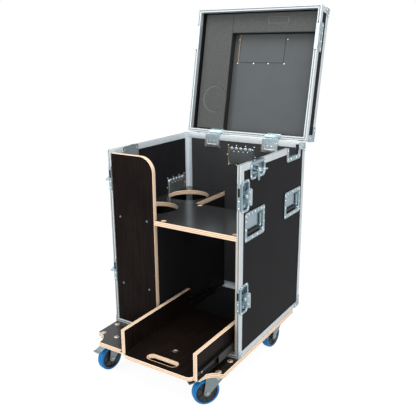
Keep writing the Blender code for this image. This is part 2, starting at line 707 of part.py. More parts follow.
def build_tray():
    """The tray's floor lies between its two walls, and its front edge stands out before them."""
    left = TRAY_LEFT + TRAY_WALL + SEAT
    right = TRAY_RIGHT - TRAY_WALL - SEAT
    front = TRAY_INSET
    back = TRAY_WALL_FRONT + TRAY_LENGTH
    middle = (left + right) / 2
    outline = (arc((left + TRAY_CORNER, front + TRAY_CORNER), TRAY_CORNER, 180, 270, BEND_STEPS)
               + arc((right - TRAY_CORNER, front + TRAY_CORNER), TRAY_CORNER, 270, 360, BEND_STEPS)
               + [(right, back), (left, back)])
    slot_y = front + TRAY_SLOT_BACK
    end = TRAY_SLOT_HIGH / 2
    reach = TRAY_SLOT / 2 - end
    slot = (arc((middle + reach, slot_y), end, -90, 90, WIDE_ARC_STEPS)
            + arc((middle - reach, slot_y), end, 90, 270, WIDE_ARC_STEPS))
    hole = circle((middle, front + TRAY_HOLE_BACK), TRAY_HOLE / 2, PIN_STEPS)
    plate("tray_floor", [outline, slot, hole], TRAY_WALL, (0, 0, TRAY_FLOOR_Z), tray_carrier, FLAT,
          BROWN_PLY)
    top = TRAY_FLOOR_Z + TRAY_WALL_HEIGHT
    for name, low, high in (("tray_wall_left", TRAY_LEFT, left - SEAT),
                            ("tray_wall_right", right + SEAT, TRAY_RIGHT)):
        block(name, (low, TRAY_WALL_FRONT, TRAY_FLOOR_Z), (high, back, top), tray_carrier, BROWN_PLY)


# Recessed dishes, handles, latches and hinges

def dish(name, wide, high, tub_wide, tub_high, deep):
    """A pressed dish: a flat rim and a tub behind it, its face towards its own Z."""
    shape = plate(name, [rounded_rectangle(wide, high, DISH_CORNER)], DISH_SHEET, (0, 0, SEAT), case,
                  FLAT, ZINC_STEEL)
    tub = plate(name + "_tub", [rounded_rectangle(tub_wide, tub_high, DISH_CORNER)],
                deep + SEAT + DISH_SHEET / 2, (0, 0, -deep), case)
    hollow = plate(name + "_hollow",
                   [rounded_rectangle(tub_wide - 2 * DISH_SHEET, tub_high - 2 * DISH_SHEET,
                                      DISH_CORNER - DISH_SHEET)],
                   deep + 2 * DISH_SHEET, (0, 0, DISH_SHEET - deep), case)
    weld(shape, tub)
    drill(shape, hollow)
    return shape


def build_bail():
    """A handle's bail: a bent rod with a grip, hanging down from its pivot."""
    arm = HANDLE_TUB_WIDE / 2 - DISH_SHEET - SEAT - BAIL_ROD
    bend = arm - BAIL_BEND
    low = BAIL_BEND - BAIL_ARM
    path = [(-arm, BAIL_ROD)]
    path += arc((-bend, low), BAIL_BEND, 180, 270, ROD_BEND_STEPS)
    path += arc((bend, low), BAIL_BEND, 270, 360, ROD_BEND_STEPS)
    path += [(arm, BAIL_ROD)]
    bail = rod("bail", [(x, y, 0) for x, y in path], BAIL_ROD, (0, 0, 0), case, FLAT, BLACK_GRIP)
    half = BAIL_GRIP_LONG / 2
    grip = cylinder("grip", BAIL_GRIP, -half, half, (0, -BAIL_ARM, 0), case, FACING_RIGHT,
                    steps=PIN_STEPS)
    return weld(bail, grip)


def place_handle(name, centre, outward, dish_mesh, bail_mesh):
    turn = facing(outward, (0, 0, 1))
    add_object("handle_dish_" + name, dish_mesh, case, centre, turn, ZINC_STEEL)
    pivot = Vector(centre) + turn @ Vector((0, BAIL_PIVOT_UP, -BAIL_PIVOT_IN))
    add_object("handle_bail_" + name, bail_mesh, case, pivot, turn, BLACK_GRIP)


def build_handles():
    dish_mesh = master(lambda: dish("handle_dish", HANDLE_WIDE, HANDLE_HIGH, HANDLE_TUB_WIDE,
                                    HANDLE_TUB_HIGH, HANDLE_DEEP))
    bail_mesh = master(build_bail)
    for side, tag in ((-1, "left"), (1, "right")):
        for y, end in zip(SIDE_HANDLES_Y, ("front", "rear")):
            place_handle(tag + "_" + end, (side * HALF, y, SIDE_HANDLE_Z), (side, 0, 0), dish_mesh,
                         bail_mesh)
    place_handle("back", (0, DEPTH, REAR_HANDLE_Z), (0, 1, 0), dish_mesh, bail_mesh)


def build_latch_wing():
    """A latch's turning wing: boss, hook and finger wing, on the latch's own axis."""
    floor = DISH_SHEET + SEAT - LATCH_DEEP
    hook_low = DISH_SHEET + LATCH_HOOK_RISE
    hook_high = hook_low + LATCH_HOOK_THICK
    wing = cylinder("latch_wing", LATCH_BOSS, floor, hook_high, (0, 0, 0), case, FLAT, ZINC_STEEL,
                    BOSS_STEPS)
    half = LATCH_HOOK_WIDE / 2
    tongue = (arc((0, half - LATCH_HOOK_REACH), half, 180, 360, WIDE_ARC_STEPS)
              + arc((0, 0), half, 0, 180, WIDE_ARC_STEPS))
    hook = plate("hook", [tongue], LATCH_HOOK_THICK, (0, 0, hook_low), case)
    lobe = WING_HIGH / 2
    reach = WING_LONG / 2 - lobe
    top = hook_high + WING_HIGH
    foot = hook_high - LATCH_HOOK_THICK / 2
    fin = [(-WING_HEAD, foot), (WING_HEAD, foot)]
    fin += arc((reach, top - lobe), lobe, -60, 90, BEND_STEPS)
    fin += arc((-reach, top - lobe), lobe, 90, 240, BEND_STEPS)
    blade = plate("blade", [fin], WING_THICK, (0, WING_THICK / 2, 0), case, FACING_FRONT)
    return weld(wing, hook, blade)


def build_latches():
    pan_mesh = master(lambda: dish("latch_pan", LATCH_LONG, LATCH_WIDE, LATCH_TUB_LONG, LATCH_TUB_WIDE,
                                   LATCH_DEEP))
    wing_mesh = master(build_latch_wing)
    for side, tag in ((-1, "left"), (1, "right")):
        spots = [(tag + "_low", LATCH_FROM_EDGE, FRONT_LATCHES_Z[0], (0, -1, 0)),
                 (tag + "_high", LATCH_FROM_EDGE, FRONT_LATCHES_Z[1], (0, -1, 0)),
                 (tag + "_top", TOP_LATCH_Y, HEIGHT - LATCH_FROM_EDGE, (0, 0, 1))]
        for name, y, z, towards in spots:
            turn = facing((side, 0, 0), towards)
            centre = (side * HALF, y, z)
            add_object("latch_pan_" + name, pan_mesh, case, centre, turn, ZINC_STEEL)
            add_object("latch_wing_" + name, wing_mesh, case, centre, turn, ZINC_STEEL)


def hinge_leaf(name, knuckles):
    """A hinge leaf: a dish with knuckles on the hinge axis; its own Y points to the axis."""
    leaf = dish(name, HINGE_WIDE, HINGE_HIGH, HINGE_TUB_WIDE, HINGE_TUB_HIGH, HINGE_DEEP)
    up = HINGE_EDGE + HINGE_HIGH / 2 + LID_GAP / 2
    for low, high in knuckles:
        barrel = cylinder("barrel", HINGE_BARREL, low, high, (0, up, HINGE_OUT), case, FACING_RIGHT,
                          steps=PIN_STEPS)
        web = block("web", (low, HINGE_HIGH / 2 - HINGE_WEB, SEAT), (high, up, HINGE_OUT), case)
        weld(leaf, web, barrel)
    return leaf


def build_hinges():
    half = HINGE_KNUCKLE / 2
    outer = half + HINGE_OUTER_KNUCKLE
    case_mesh = master(lambda: hinge_leaf("hinge_case", ((-half, half),)))
    lid_mesh = master(lambda: hinge_leaf("hinge_lid", ((-outer, -half - SEAT), (half + SEAT, outer))))
    from_edge = HINGE_EDGE + HINGE_HIGH / 2
    for x, tag in zip(HINGES_X, ("left", "right")):
        add_object("hinge_case_" + tag, case_mesh, case, (x, DEPTH, HEIGHT - from_edge),
                   facing((0, 1, 0), (0, 0, 1)), ZINC_STEEL)
        add_object("hinge_lid_" + tag, lid_mesh, lid_carrier, (x, DEPTH, LID_BASE + from_edge),
                   facing((0, 1, 0), (0, 0, -1)), ZINC_STEEL)


# Lid

def build_lid():
    low, high = LID_BASE + SKIN, LID_TOP - SKIN
    shell = block("lid_shell", (SKIN - HALF, SKIN, low), (HALF - SKIN, DEPTH - SKIN, high), lid_carrier,
                  LID_BOARD)
    wall = SKIN + PLY
    drill(shell, block("lid_hollow", (wall - HALF, wall, low - CAP), (HALF - wall, DEPTH - wall,
                                                                       LID_INNER_TOP), lid_carrier))
    x, y = label_centre()
    half_x, half_y = LABEL_WIDE / 2, LABEL_LONG / 2
    drill(shell, block("label_cut", (x - half_x - SEAT, y - half_y - SEAT, LID_INNER_TOP - CAP),
                       (x + half_x + SEAT, y + half_y + SEAT, LID_TOP + CAP), lid_carrier))
    frame = build_lid_edge_frame()
    for hinge_x in HINGES_X:
        for target in (shell, frame):
            drill(target, rear_cut("lid_hinge_cut", hinge_x, LID_BASE + HINGE_EDGE + HINGE_HIGH / 2,
                                   HINGE_TUB_WIDE, HINGE_TUB_HIGH, lid_carrier))
    build_foam()
    label_mesh = master(lambda: dish("lid_label_dish", LABEL_WIDE + 2 * LABEL_RIM,
                                     LABEL_LONG + 2 * LABEL_RIM, LABEL_WIDE, LABEL_LONG, LABEL_DEEP))
    add_object("lid_label_dish", label_mesh, lid_carrier, (x, y, LID_TOP - SKIN), FLAT, ZINC_STEEL)


def label_centre():
    """The label dish lies behind the front foam, just right of the side foam."""
    left = CAP - HALF + FOAM_SIDE_GAP + FOAM_SIDE
    x = left + 2 * LABEL_RIM + LABEL_WIDE / 2
    y = CAP + FOAM_FRONT + LABEL_GAP + LABEL_LONG / 2
    return x, y


def build_lid_edge_frame():
    """The lid's closure channel, its upper edge angles, corner angles and latch keepers."""
    frame = band("lid_edge_frame", all_sides(0, CAP), LID_BASE, LID_BASE + SHEET, lid_carrier, ALUMINIUM)
    pieces = [
        band("lid_rim_outer", all_sides(0, SHEET), LID_BASE, LID_BASE + FLANGE, lid_carrier),
        band("lid_rim_inner", all_sides(CAP - SHEET, CAP), LID_BASE, LID_BASE + FLANGE, lid_carrier),
        band("lid_top_outer", all_sides(0, SHEET), LID_TOP - FLANGE, LID_TOP, lid_carrier),
        band("lid_top_flat", all_sides(0, FLANGE), LID_TOP - SHEET, LID_TOP, lid_carrier),
    ]
    for side in (-1, 1):
        for front in (False, True):
            outline = angle_outline(side, 0, 0, FLANGE, front)
            pieces.append(plate("lid_corner", [outline], LID_DEPTH, (0, 0, LID_BASE), lid_carrier))
        low, high = sorted((side * (HALF - SHEET / 2), side * (HALF + KEEPER_THICK)))
        pieces.append(block("keeper", (low, TOP_LATCH_Y - LATCH_LONG / 2, LID_BASE + LATCH_EDGE),
                            (high, TOP_LATCH_Y + LATCH_LONG / 2, LID_BASE + LATCH_EDGE + KEEPER_WIDE),
                            lid_carrier))
    return weld(frame, *pieces)


def build_foam():
    """The lid's foam: a long strip at the left and a shorter one along the front edge."""
    left = CAP - HALF + FOAM_SIDE_GAP
    inner = left + FOAM_SIDE
    right = FLANGE_IN - SEAT
    front = CAP + SEAT
    back = DEPTH - HINGE_DEEP - SEAT
    outline = [(left, front), (right, front), (right, CAP + FOAM_FRONT), (inner, CAP + FOAM_FRONT),
               (inner, back), (left, back)]
    plate("lid_foam", [outline], FOAM_THICK, (0, 0, LID_INNER_TOP - SEAT - FOAM_THICK), lid_carrier, FLAT,
          GREY_FOAM)


# Caster board and casters

def build_board():
    outline = (arc((-HALF, -BOARD_FRONT), BOARD_SCALLOP, 90, 0, WIDE_ARC_STEPS)
               + arc((HALF, -BOARD_FRONT), BOARD_SCALLOP, 180, 90, WIDE_ARC_STEPS)
               + arc((HALF, DEPTH), BOARD_SCALLOP, 270, 180, WIDE_ARC_STEPS)
               + arc((-HALF, DEPTH), BOARD_SCALLOP, 0, -90, WIDE_ARC_STEPS))
    board = plate("caster_board", [outline], BOARD_THICK, (0, 0, BOARD_BOTTOM), case, FLAT, DECK_BOARD)
    for name, (side, rear, _turn) in CASTERS.items():
        x, y = caster_spot(side, rear)
        top = BOARD_BOTTOM + SEAT
        pad = block(name + "_plate", (x - PLATE_WIDE / 2, y - PLATE_LONG / 2, BOARD_BOTTOM - PLATE_THICK),
                    (x + PLATE_WIDE / 2, y + PLATE_LONG / 2, top), case)
        race = cylinder(name + "_race", RACE_RADIUS, RACE_BOTTOM, top, (x, y, 0), case,
                        steps=BOSS_STEPS)
        weld(board, pad, race)


def caster_spot(side, rear):
    y = DEPTH - CASTER_INSET if rear else CASTER_INSET - BOARD_FRONT
    return side * CASTER_SIDE, y


def build_fork():
    """A caster's swivel fork, trailing to the front, on its king pin's axis."""
    fork = cylinder("fork", HEAD_RADIUS, HEAD_BOTTOM, HEAD_TOP, (0, 0, 0), case, FLAT, ZINC_STEEL,
                    BOSS_STEPS)
    crown_low = HEAD_BOTTOM - CROWN_HIGH
    crown_front = CHEEK_FOOT - TRAIL - SEAT
    crown = block("crown", (-CHEEK_OUT, crown_front, crown_low),
                  (CHEEK_OUT, CROWN_BACK, HEAD_BOTTOM + SEAT), case)
    pin_z = pedal_pin_z()
    ear = PEDAL_PIN_TRAIL + 2 * PEDAL_PIN
    top = HEAD_BOTTOM + SEAT / 2
    foot = arc((-TRAIL, AXLE_Z), CHEEK_FOOT, 180, 350, WIDE_ARC_STEPS)
    outline = [(CROWN_BACK, crown_low), (CROWN_BACK, top), (-ear, top), (-ear, pin_z - PEDAL_PIN)] + foot
    weld(fork, crown)
    for low in (-CHEEK_OUT, CHEEK_IN):
        weld(fork, plate("cheek", [outline], CHEEK_THICK, (low, 0, 0), case, FACING_RIGHT))
    end = CHEEK_OUT + AXLE_STUB
    axle = cylinder("axle", AXLE_RADIUS, -end, end, (0, -TRAIL, AXLE_Z), case, FACING_RIGHT,
                    steps=PIN_STEPS)
    return weld(fork, axle)


def pedal_pin_z():
    return AXLE_Z + WHEEL_RADIUS + PEDAL_PIN_RISE


def build_wheel():
    """A wheel turned about its own Z: hub, web and tyre in one section."""
    half = WHEEL_WIDTH / 2
    hub_half = CHEEK_IN - SEAT
    web_half = WEB_THICK / 2
    upper = [(AXLE_RADIUS + SEAT, hub_half), (HUB_RADIUS, hub_half), (HUB_RADIUS + HUB_DRAFT, web_half),
             (RIM_RADIUS - RIM_DRAFT, web_half), (RIM_RADIUS, half - RIM_INSET),
             (WHEEL_RADIUS - TYRE_SHOULDER_IN, half - TYRE_SHOULDER_INSET),
             (WHEEL_RADIUS - TYRE_CROWN_IN, half - TYRE_CROWN_INSET),
             (WHEEL_RADIUS, half - TYRE_FLAT_INSET)]
    lower = [(radius, -height) for radius, height in reversed(upper)]
    loop = upper + lower
    bm = bmesh.new()
    verts = [bm.verts.new((radius, 0, height)) for radius, height in loop]
    for first, second in zip(verts, verts[1:] + verts[:1]):
        bm.edges.new((first, second))
    mesh = bpy.data.meshes.new("wheel")
    bm.to_mesh(mesh)
    bm.free()
    wheel = add_object("wheel", mesh, case, (0, 0, 0), FLAT, BLUE_TYRE)
    turned = wheel.modifiers.new("turned", "SCREW")
    turned.angle = math.radians(360)
    turned.steps = ROUND_STEPS
    turned.render_steps = ROUND_STEPS
    turned.use_merge_vertices = True
    turned.merge_threshold = 1e-5
    return wheel


def build_pedal():
    """A brake pedal on its pin, over the wheel and past it."""
    bend = PEDAL_LONG - PEDAL_TREAD
    tread = PEDAL_PIN - PEDAL_DROP
    upper = [(0, PEDAL_PIN), (-PEDAL_FLAT, PEDAL_PIN), (-bend, tread), (-PEDAL_LONG, tread)]
    shift = Vector((-PEDAL_THICK / 2, -PEDAL_THICK))
    lower = [(-PEDAL_LONG, tread - PEDAL_THICK), Vector((-bend, tread)) + shift,
             Vector((-PEDAL_FLAT, PEDAL_PIN)) + shift, (0, PEDAL_PIN - PEDAL_THICK)]
    pedal = plate("pedal", [upper + lower], PEDAL_WIDE, (-PEDAL_WIDE / 2, 0, 0), case, FACING_RIGHT,
                  ZINC_STEEL)
    end = CHEEK_IN - SEAT
    pin = cylinder("pin", PEDAL_PIN, -end, end, (0, 0, 0), case, FACING_RIGHT, steps=PIN_STEPS)
    return weld(pedal, pin)


def build_casters():
    fork_mesh = master(build_fork)
    wheel_mesh = master(build_wheel)
    pedal_mesh = master(build_pedal)
    for name, (side, rear, turn) in CASTERS.items():
        x, y = caster_spot(side, rear)
        swivel = Carrier("swivel_" + name, (x, y, 0), case, rest_turn=(0, 0, turn))
        add_object("caster_fork_" + name, fork_mesh, swivel, (x, y, 0), FLAT, ZINC_STEEL)
        add_object("caster_wheel_" + name, wheel_mesh, swivel, (x, y - TRAIL, AXLE_Z), FACING_RIGHT,
                   BLUE_TYRE)
        if not rear:
            add_object("brake_pedal_" + name, pedal_mesh, swivel, (x, y - PEDAL_PIN_TRAIL, pedal_pin_z()),
                       FLAT, ZINC_STEEL)


def finish_all():
    """Settles every cut and joined piece, removes the helpers and sets the carriers to rest."""
    for piece in parts.objects:
        if piece.modifiers:
            finish_mesh(piece)
    for helper in list(tools.objects):
        bpy.data.objects.remove(helper, do_unlink=True)
    for carrier in carriers:
        carrier.move_to_rest()


clear_scene()
parts = new_collection("lighting_flight_case")
tools = new_collection("cutters")
carriers = []
case = Carrier("case", (0, 0, 0), rest_move=CASE_ORIGIN)
tray_carrier = Carrier("tray", (0, 0, 0), case, rest_move=(0, -TRAY_OUT, 0))
slide_carrier = Carrier("slide_middles", (0, 0, 0), case, rest_move=(0, -TRAY_OUT / 2, 0))
lid_carrier = Carrier("lid", (0, HINGE_Y, HINGE_Z), case, rest_turn=(-LID_OPEN, 0, 0))

build_board()
build_body_panels()
build_edge_frame()
build_front_posts()
build_fascia()
build_divider_and_shelf()
build_slides()
build_tray()
build_handles()
build_latches()
build_hinges()
build_lid()
build_casters()
finish_all()
bpy.context.view_layer.update()
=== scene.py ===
import json
import math

import bmesh
import bpy
from mathutils import Matrix, Vector


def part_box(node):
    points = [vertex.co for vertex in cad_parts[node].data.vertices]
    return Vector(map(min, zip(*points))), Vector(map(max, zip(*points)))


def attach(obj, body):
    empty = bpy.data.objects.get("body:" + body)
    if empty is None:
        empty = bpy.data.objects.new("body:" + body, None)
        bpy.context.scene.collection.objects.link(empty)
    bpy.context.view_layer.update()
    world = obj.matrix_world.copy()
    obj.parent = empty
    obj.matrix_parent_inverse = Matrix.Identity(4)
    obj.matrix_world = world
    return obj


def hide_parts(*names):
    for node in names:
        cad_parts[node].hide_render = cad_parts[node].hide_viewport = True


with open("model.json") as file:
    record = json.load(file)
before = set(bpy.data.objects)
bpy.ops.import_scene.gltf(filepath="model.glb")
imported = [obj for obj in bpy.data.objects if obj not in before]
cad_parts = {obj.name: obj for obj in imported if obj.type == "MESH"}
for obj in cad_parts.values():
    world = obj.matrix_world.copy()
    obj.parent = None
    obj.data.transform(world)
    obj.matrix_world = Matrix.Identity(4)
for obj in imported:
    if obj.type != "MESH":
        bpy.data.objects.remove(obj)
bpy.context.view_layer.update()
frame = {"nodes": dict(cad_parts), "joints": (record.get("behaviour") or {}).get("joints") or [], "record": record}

# Every length of the case is in millimetres and every place is in the shut case's own frame: X to the
# right, Y to the back, Z up, zero at the middle of the case's front lower edge. The camera, the floor
# and the lights are in metres, in the frame of the whole scene.
MM = 0.001
STILL = Matrix.Identity(4)
RIGHT, LEFT = Vector((1, 0, 0)), Vector((-1, 0, 0))
BACK, FRONT = Vector((0, 1, 0)), Vector((0, -1, 0))
UP, DOWN = Vector((0, 0, 1)), Vector((0, 0, -1))
JOINTS = {joint["name"]: joint for joint in frame["joints"]}
OPENINGS = {opening["name"]: opening["box_m"] for opening in frame["record"]["physics"]["openings"]}


# Where things are

class Span:
    """A box around some points."""

    def __init__(self, points):
        self.low = Vector([min(point[axis] for point in points) for axis in range(3)])
        self.high = Vector([max(point[axis] for point in points) for axis in range(3)])
        self.mid = (self.low + self.high) / 2
        self.size = self.high - self.low

    def face(self, across, up):
        """The box's outline along two axes."""
        return rectangle(self.low[across], self.low[up], self.high[across], self.high[up])


class Home:
    """The shut case's frame, carried along to where a body stands at rest."""

    def __init__(self, body, matrix):
        self.body = body
        self.matrix = matrix

    def around(self, places):
        """The box of some places, taken back to the shut case."""
        back = self.matrix.inverted()
        return Span([back @ Vector(place) / MM for place in places])

    def span(self, node):
        return self.around([vertex.co for vertex in frame["nodes"][node].data.vertices])

    def opening(self, name):
        return self.around(OPENINGS[name])


def moved(x, y, z):
    return Matrix.Translation((x, y, z))


def turned(degrees, axis="Z"):
    return Matrix.Rotation(math.radians(degrees), 4, axis)


edge_low, edge_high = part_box("edge_frame")
ORIGIN = Vector(((edge_low.x + edge_high.x) / 2, edge_low.y, edge_low.z))
CASE = Home("root", Matrix.Translation(ORIGIN))
lid_pin = Vector(JOINTS["lid_hinge"]["pos_m"])
LID = Home("lid", Matrix.Translation(lid_pin) @ turned(-JOINTS["lid_hinge"]["range_deg"][1], "X")
           @ Matrix.Translation(-lid_pin) @ CASE.matrix)
TRAY = Home("tray", Matrix.Translation(FRONT * JOINTS["tray_slide"]["range_m"][1]) @ CASE.matrix)
SLIDES = Home("slide_middles",
              Matrix.Translation(FRONT * JOINTS["slide_middle_travel"]["range_m"][1]) @ CASE.matrix)
CASTERS = ("front_left", "front_right", "rear_left", "rear_right")


def caster_home(name, body):
    """A caster's own frame: its king pin is at zero and its axle lies along X."""
    pin = JOINTS["swivel_" + name + "_turn"]["pos_m"]
    axle = JOINTS["wheel_" + name + "_roll"]["axis"]
    place = moved(pin[0], pin[1], ORIGIN.z)
    return Home(body, place @ Matrix.Rotation(math.atan2(axle[1], axle[0]), 4, "Z"))


# Sizes taken from the frame
body = CASE.span("edge_frame")
HALF, DEPTH, HEIGHT = body.high.x, body.high.y, body.high.z
post = CASE.span("right_front_post")
CAP = post.size.x
FLANGE = post.size.y
wall = CASE.span("left_side_panel")
PLY = wall.size.x
SKIN = wall.low.x + HALF
# The profiles' sheet, and the gap between a board's face and the profile's leg over it
SHEET = 1.8
SEAT = SKIN - SHEET
PANEL_IN = HALF - SKIN - PLY
FLANGE_IN = HALF - CAP
lid_shell = LID.span("lid_shell")
LID_BASE = lid_shell.low.z - SKIN
LID_TOP = lid_shell.high.z + SKIN
DISH_SHEET = 1.2
DISH_FACE = SEAT + DISH_SHEET
SLIDE_SHEET = 1.2


# Outlines

def arc(centre, radius, start, end, steps=6):
    """Points from one angle to another, in degrees."""
    turns = [math.radians(start + (end - start) * step / steps) for step in range(steps + 1)]
    return [(centre[0] + radius * math.cos(turn), centre[1] + radius * math.sin(turn)) for turn in turns]


def circle(centre, radius, steps=32):
    return arc(centre, radius, 0, 360, steps)[:-1]


def rounded_rectangle(wide, high, radius, centre=(0, 0), steps=4):
    x, y = wide / 2 - radius, high / 2 - radius
    corners = ((x, -y, -90), (x, y, 0), (-x, y, 90), (-x, -y, 180))
    points = []
    for across, up, start in corners:
        points += arc((centre[0] + across, centre[1] + up), radius, start, start + 90, steps)
    return points


def rectangle(left, low, right, high):
    return [(left, low), (right, low), (right, high), (left, high)]

def mirrored(points, middle=0):
    """The other half of a symmetric outline."""
    return [(2 * middle - x, y) for x, y in reversed(points)]


def grid(across, up):
    """Every pair of two lists of places."""
    return [(x, y) for x in across for y in up]


def filleted(points, radius, steps=5):
    """A path with its inner corners rounded."""
    points = [Vector(point) for point in points]
    path = [points[0]]
    for before, corner, after in zip(points, points[1:], points[2:]):
        reach = min(radius, (before - corner).length / 2, (after - corner).length / 2)
        start = corner + (before - corner).normalized() * reach
        end = corner + (after - corner).normalized() * reach
        for step in range(steps + 1):
            share = step / steps
            path.append(start.lerp(corner, share).lerp(corner.lerp(end, share), share))
    return path + [points[-1]]


def frame_at(place, across, up):
    """A frame at a place whose X and Y look along two directions."""
    across, up = Vector(across).normalized(), Vector(up).normalized()
    turn = Matrix((across, up, across.cross(up))).transposed().to_4x4()
    turn.translation = Vector(place)
    return turn


def facing(place, out):
    """A frame at a place whose Z looks outward."""
    out = Vector(out).normalized()
    side = Vector((0, 0, 1)) if abs(out.z) < 0.9 else Vector((0, 1, 0))
    return frame_at(place, side.cross(out), out.cross(side.cross(out)))

def on_right(x):
    """A frame on a plane that looks to the right: its X runs back, its Y up."""
    return frame_at((x, 0, 0), BACK, UP)


def on_front(y):
    """A frame on a plane that looks to the front: its X runs right, its Y up."""
    return frame_at((0, y, 0), RIGHT, UP)


# Mesh kit

def add(name, data):
    thing = bpy.data.objects.new(name, data)
    bpy.context.scene.collection.objects.link(thing)
    return thing


class Shape:
    """A mesh that grows from closed bodies, each with its own finish."""

    def __init__(self):
        self.bm = bmesh.new()
        self.finishes = []

    def paint(self, faces, finish):
        if finish not in self.finishes:
            self.finishes.append(finish)
        for face in faces:
            face.material_index = self.finishes.index(finish)
        return faces

    def loft(self, rings, finish, at=STILL, loop=False):
        """A closed skin over rings of points, with flat ends unless the rings close on themselves."""
        rows = [[self.bm.verts.new(at @ Vector(point)) for point in ring] for ring in rings]
        pairs = list(zip(rows, rows[1:]))
        if loop:
            pairs.append((rows[-1], rows[0]))
        faces = []
        for near, far in pairs:
            for first, second, third, fourth in zip(near, near[1:] + near[:1], far[1:] + far[:1], far):
                faces.append(self.bm.faces.new((first, second, third, fourth)))
        if not loop:
            faces.append(self.bm.faces.new(rows[0]))
            faces.append(self.bm.faces.new(rows[-1]))
        bmesh.ops.recalc_face_normals(self.bm, faces=faces)
        return self.paint(faces, finish)

    def lathe(self, profile, finish, at=STILL, steps=24, loop=False):
        """A body turned about Z from radius and height pairs."""
        rings = [[(x, y, height) for x, y in circle((0, 0), radius, steps)] for radius, height in profile]
        return self.loft(rings, finish, at, loop)

    def rod(self, path, radius, finish, at=STILL, steps=12):
        """A round bar along a path."""
        path = [Vector(point) for point in path]
        heading = (path[1] - path[0]).normalized()
        side = heading.orthogonal().normalized()
        rings = []
        for index, point in enumerate(path):
            near, far = path[max(index - 1, 0)], path[min(index + 1, len(path) - 1)]
            turned = (far - near).normalized()
            side = (heading.rotation_difference(turned) @ side).normalized()
            heading = turned
            other = heading.cross(side)
            rings.append([point + side * x + other * y for x, y in circle((0, 0), radius, steps)])
        return self.loft(rings, finish, at)

    def run(self, section, start, end, across, up, finish, start_cut=None, end_cut=None, at=STILL):
        """A bar with a section, cut square or along mitre planes at its ends."""
        start, end, across, up = Vector(start), Vector(end), Vector(across), Vector(up)
        heading = (end - start).normalized()
        rings = []
        for place, cut in ((start, start_cut), (end, end_cut)):
            normal = Vector(cut) if cut else heading
            ring = []
            for u, v in section:
                offset = across * u + up * v
                ring.append(place + offset - heading * (offset.dot(normal) / heading.dot(normal)))
            rings.append(ring)
        return self.loft(rings, finish, at)

    def block(self, low, high, finish, at=STILL, round=0.5):
        """A bar with rounded edges."""
        low, high = Vector(low), Vector(high)
        size = high - low
        outline = rounded_rectangle(size.x, size.y, min(2 * round, size.x / 3, size.y / 3), (0, 0), 3)
        place = at @ moved((low.x + high.x) / 2, (low.y + high.y) / 2, low.z)
        return self.plate([outline], size.z, finish, at=place, round=min(round, size.z / 3))

    def plate(self, loops, thick, finish, edge=None, at=STILL, round=0.4, steps=1):
        """A flat outline with holes and rounded edges, from its own floor up."""
        curve = bpy.data.curves.new("outline", "CURVE")
        curve.dimensions = "2D"
        curve.fill_mode = "BOTH"
        curve.extrude = thick / 2 - round
        curve.bevel_depth = round
        curve.bevel_resolution = steps
        curve.offset = -round
        for number, loop in enumerate(loops):
            area = sum(a[0] * b[1] - b[0] * a[1] for a, b in zip(loop, loop[1:] + loop[:1]))
            points = loop if (area > 0) == (number == 0) else loop[::-1]
            spline = curve.splines.new("POLY")
            spline.points.add(len(points) - 1)
            spline.use_cyclic_u = True
            for point, (x, y) in zip(spline.points, points):
                point.co = (x, y, 0, 1)
        holder = bpy.data.objects.new("outline", curve)
        mesh = bpy.data.meshes.new_from_object(holder)
        bpy.data.objects.remove(holder)
        bpy.data.curves.remove(curve)
        mesh.transform(at @ moved(0, 0, thick / 2))
        old = len(self.bm.faces)
        self.bm.from_mesh(mesh)
        bpy.data.meshes.remove(mesh)
        self.bm.faces.ensure_lookup_table()
        faces = self.bm.faces[old:]
        verts = list({vert for face in faces for vert in face.verts})
        bmesh.ops.remove_doubles(self.bm, verts=verts, dist=0.001)
        self.bm.faces.ensure_lookup_table()
        faces = [face for face in self.bm.faces[old:] if face.is_valid]
        bmesh.ops.recalc_face_normals(self.bm, faces=faces)
        self.paint(faces, finish)
        out = (at.to_3x3() @ UP).normalized()
        flat = [face for face in faces if abs(face.normal.dot(out)) > 0.95]
        if edge:
            self.paint([face for face in faces if face not in flat], edge)
        for border in {border for face in flat for border in face.edges}:
            border.smooth = False
        return faces

    def piece(self, name, home, slot, at=STILL, replaces=(), angle=35):
        """Makes the object, in place and riding on its body."""
        mesh = bpy.data.meshes.new(name)
        self.bm.transform(Matrix.Scale(MM, 4))
        for edge in self.bm.edges:
            if edge.calc_face_angle(0) > math.radians(angle):
                edge.smooth = False
        for face in self.bm.faces:
            face.smooth = True
        self.bm.to_mesh(mesh)
        self.bm.free()
        for finish in self.finishes:
            mesh.materials.append(FINISHES[finish])
        piece = add(name, mesh)
        place = at.copy()
        place.translation = at.translation * MM
        piece.matrix_world = home.matrix @ place
        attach(piece, home.body)
        if replaces:
            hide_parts(*replaces)
        return piece

def board(name, home, at, loops, thick, node=None, finish="black_laminate", slot="black_laminate",
          edge="birch_thin", round=0.4):
    """A board as a piece of its own, in the place of its node if it has one."""
    shape = Shape()
    shape.plate(loops, thick, finish, edge, round=round)
    shape.piece(name, home, slot, at, [node] if node else [])


# Shader kit

def plug(tree, value, entry):
    """Feeds a socket from a wire, or sets its own value."""
    if isinstance(value, Wire):
        tree.links.new(value.socket, entry)
    else:
        entry.default_value = value


def calculate(tree, operation, *values):
    node = tree.nodes.new("ShaderNodeMath")
    node.operation = operation
    for value, entry in zip(values, node.inputs):
        plug(tree, value, entry)
    return Wire(tree, node.outputs[0])


def arithmetic(operation, swapped=False):
    """A method that turns an operator into a math node."""
    def method(self, *others):
        values = (*others, self) if swapped else (self, *others)
        return calculate(self.tree, operation, *values)
    return method


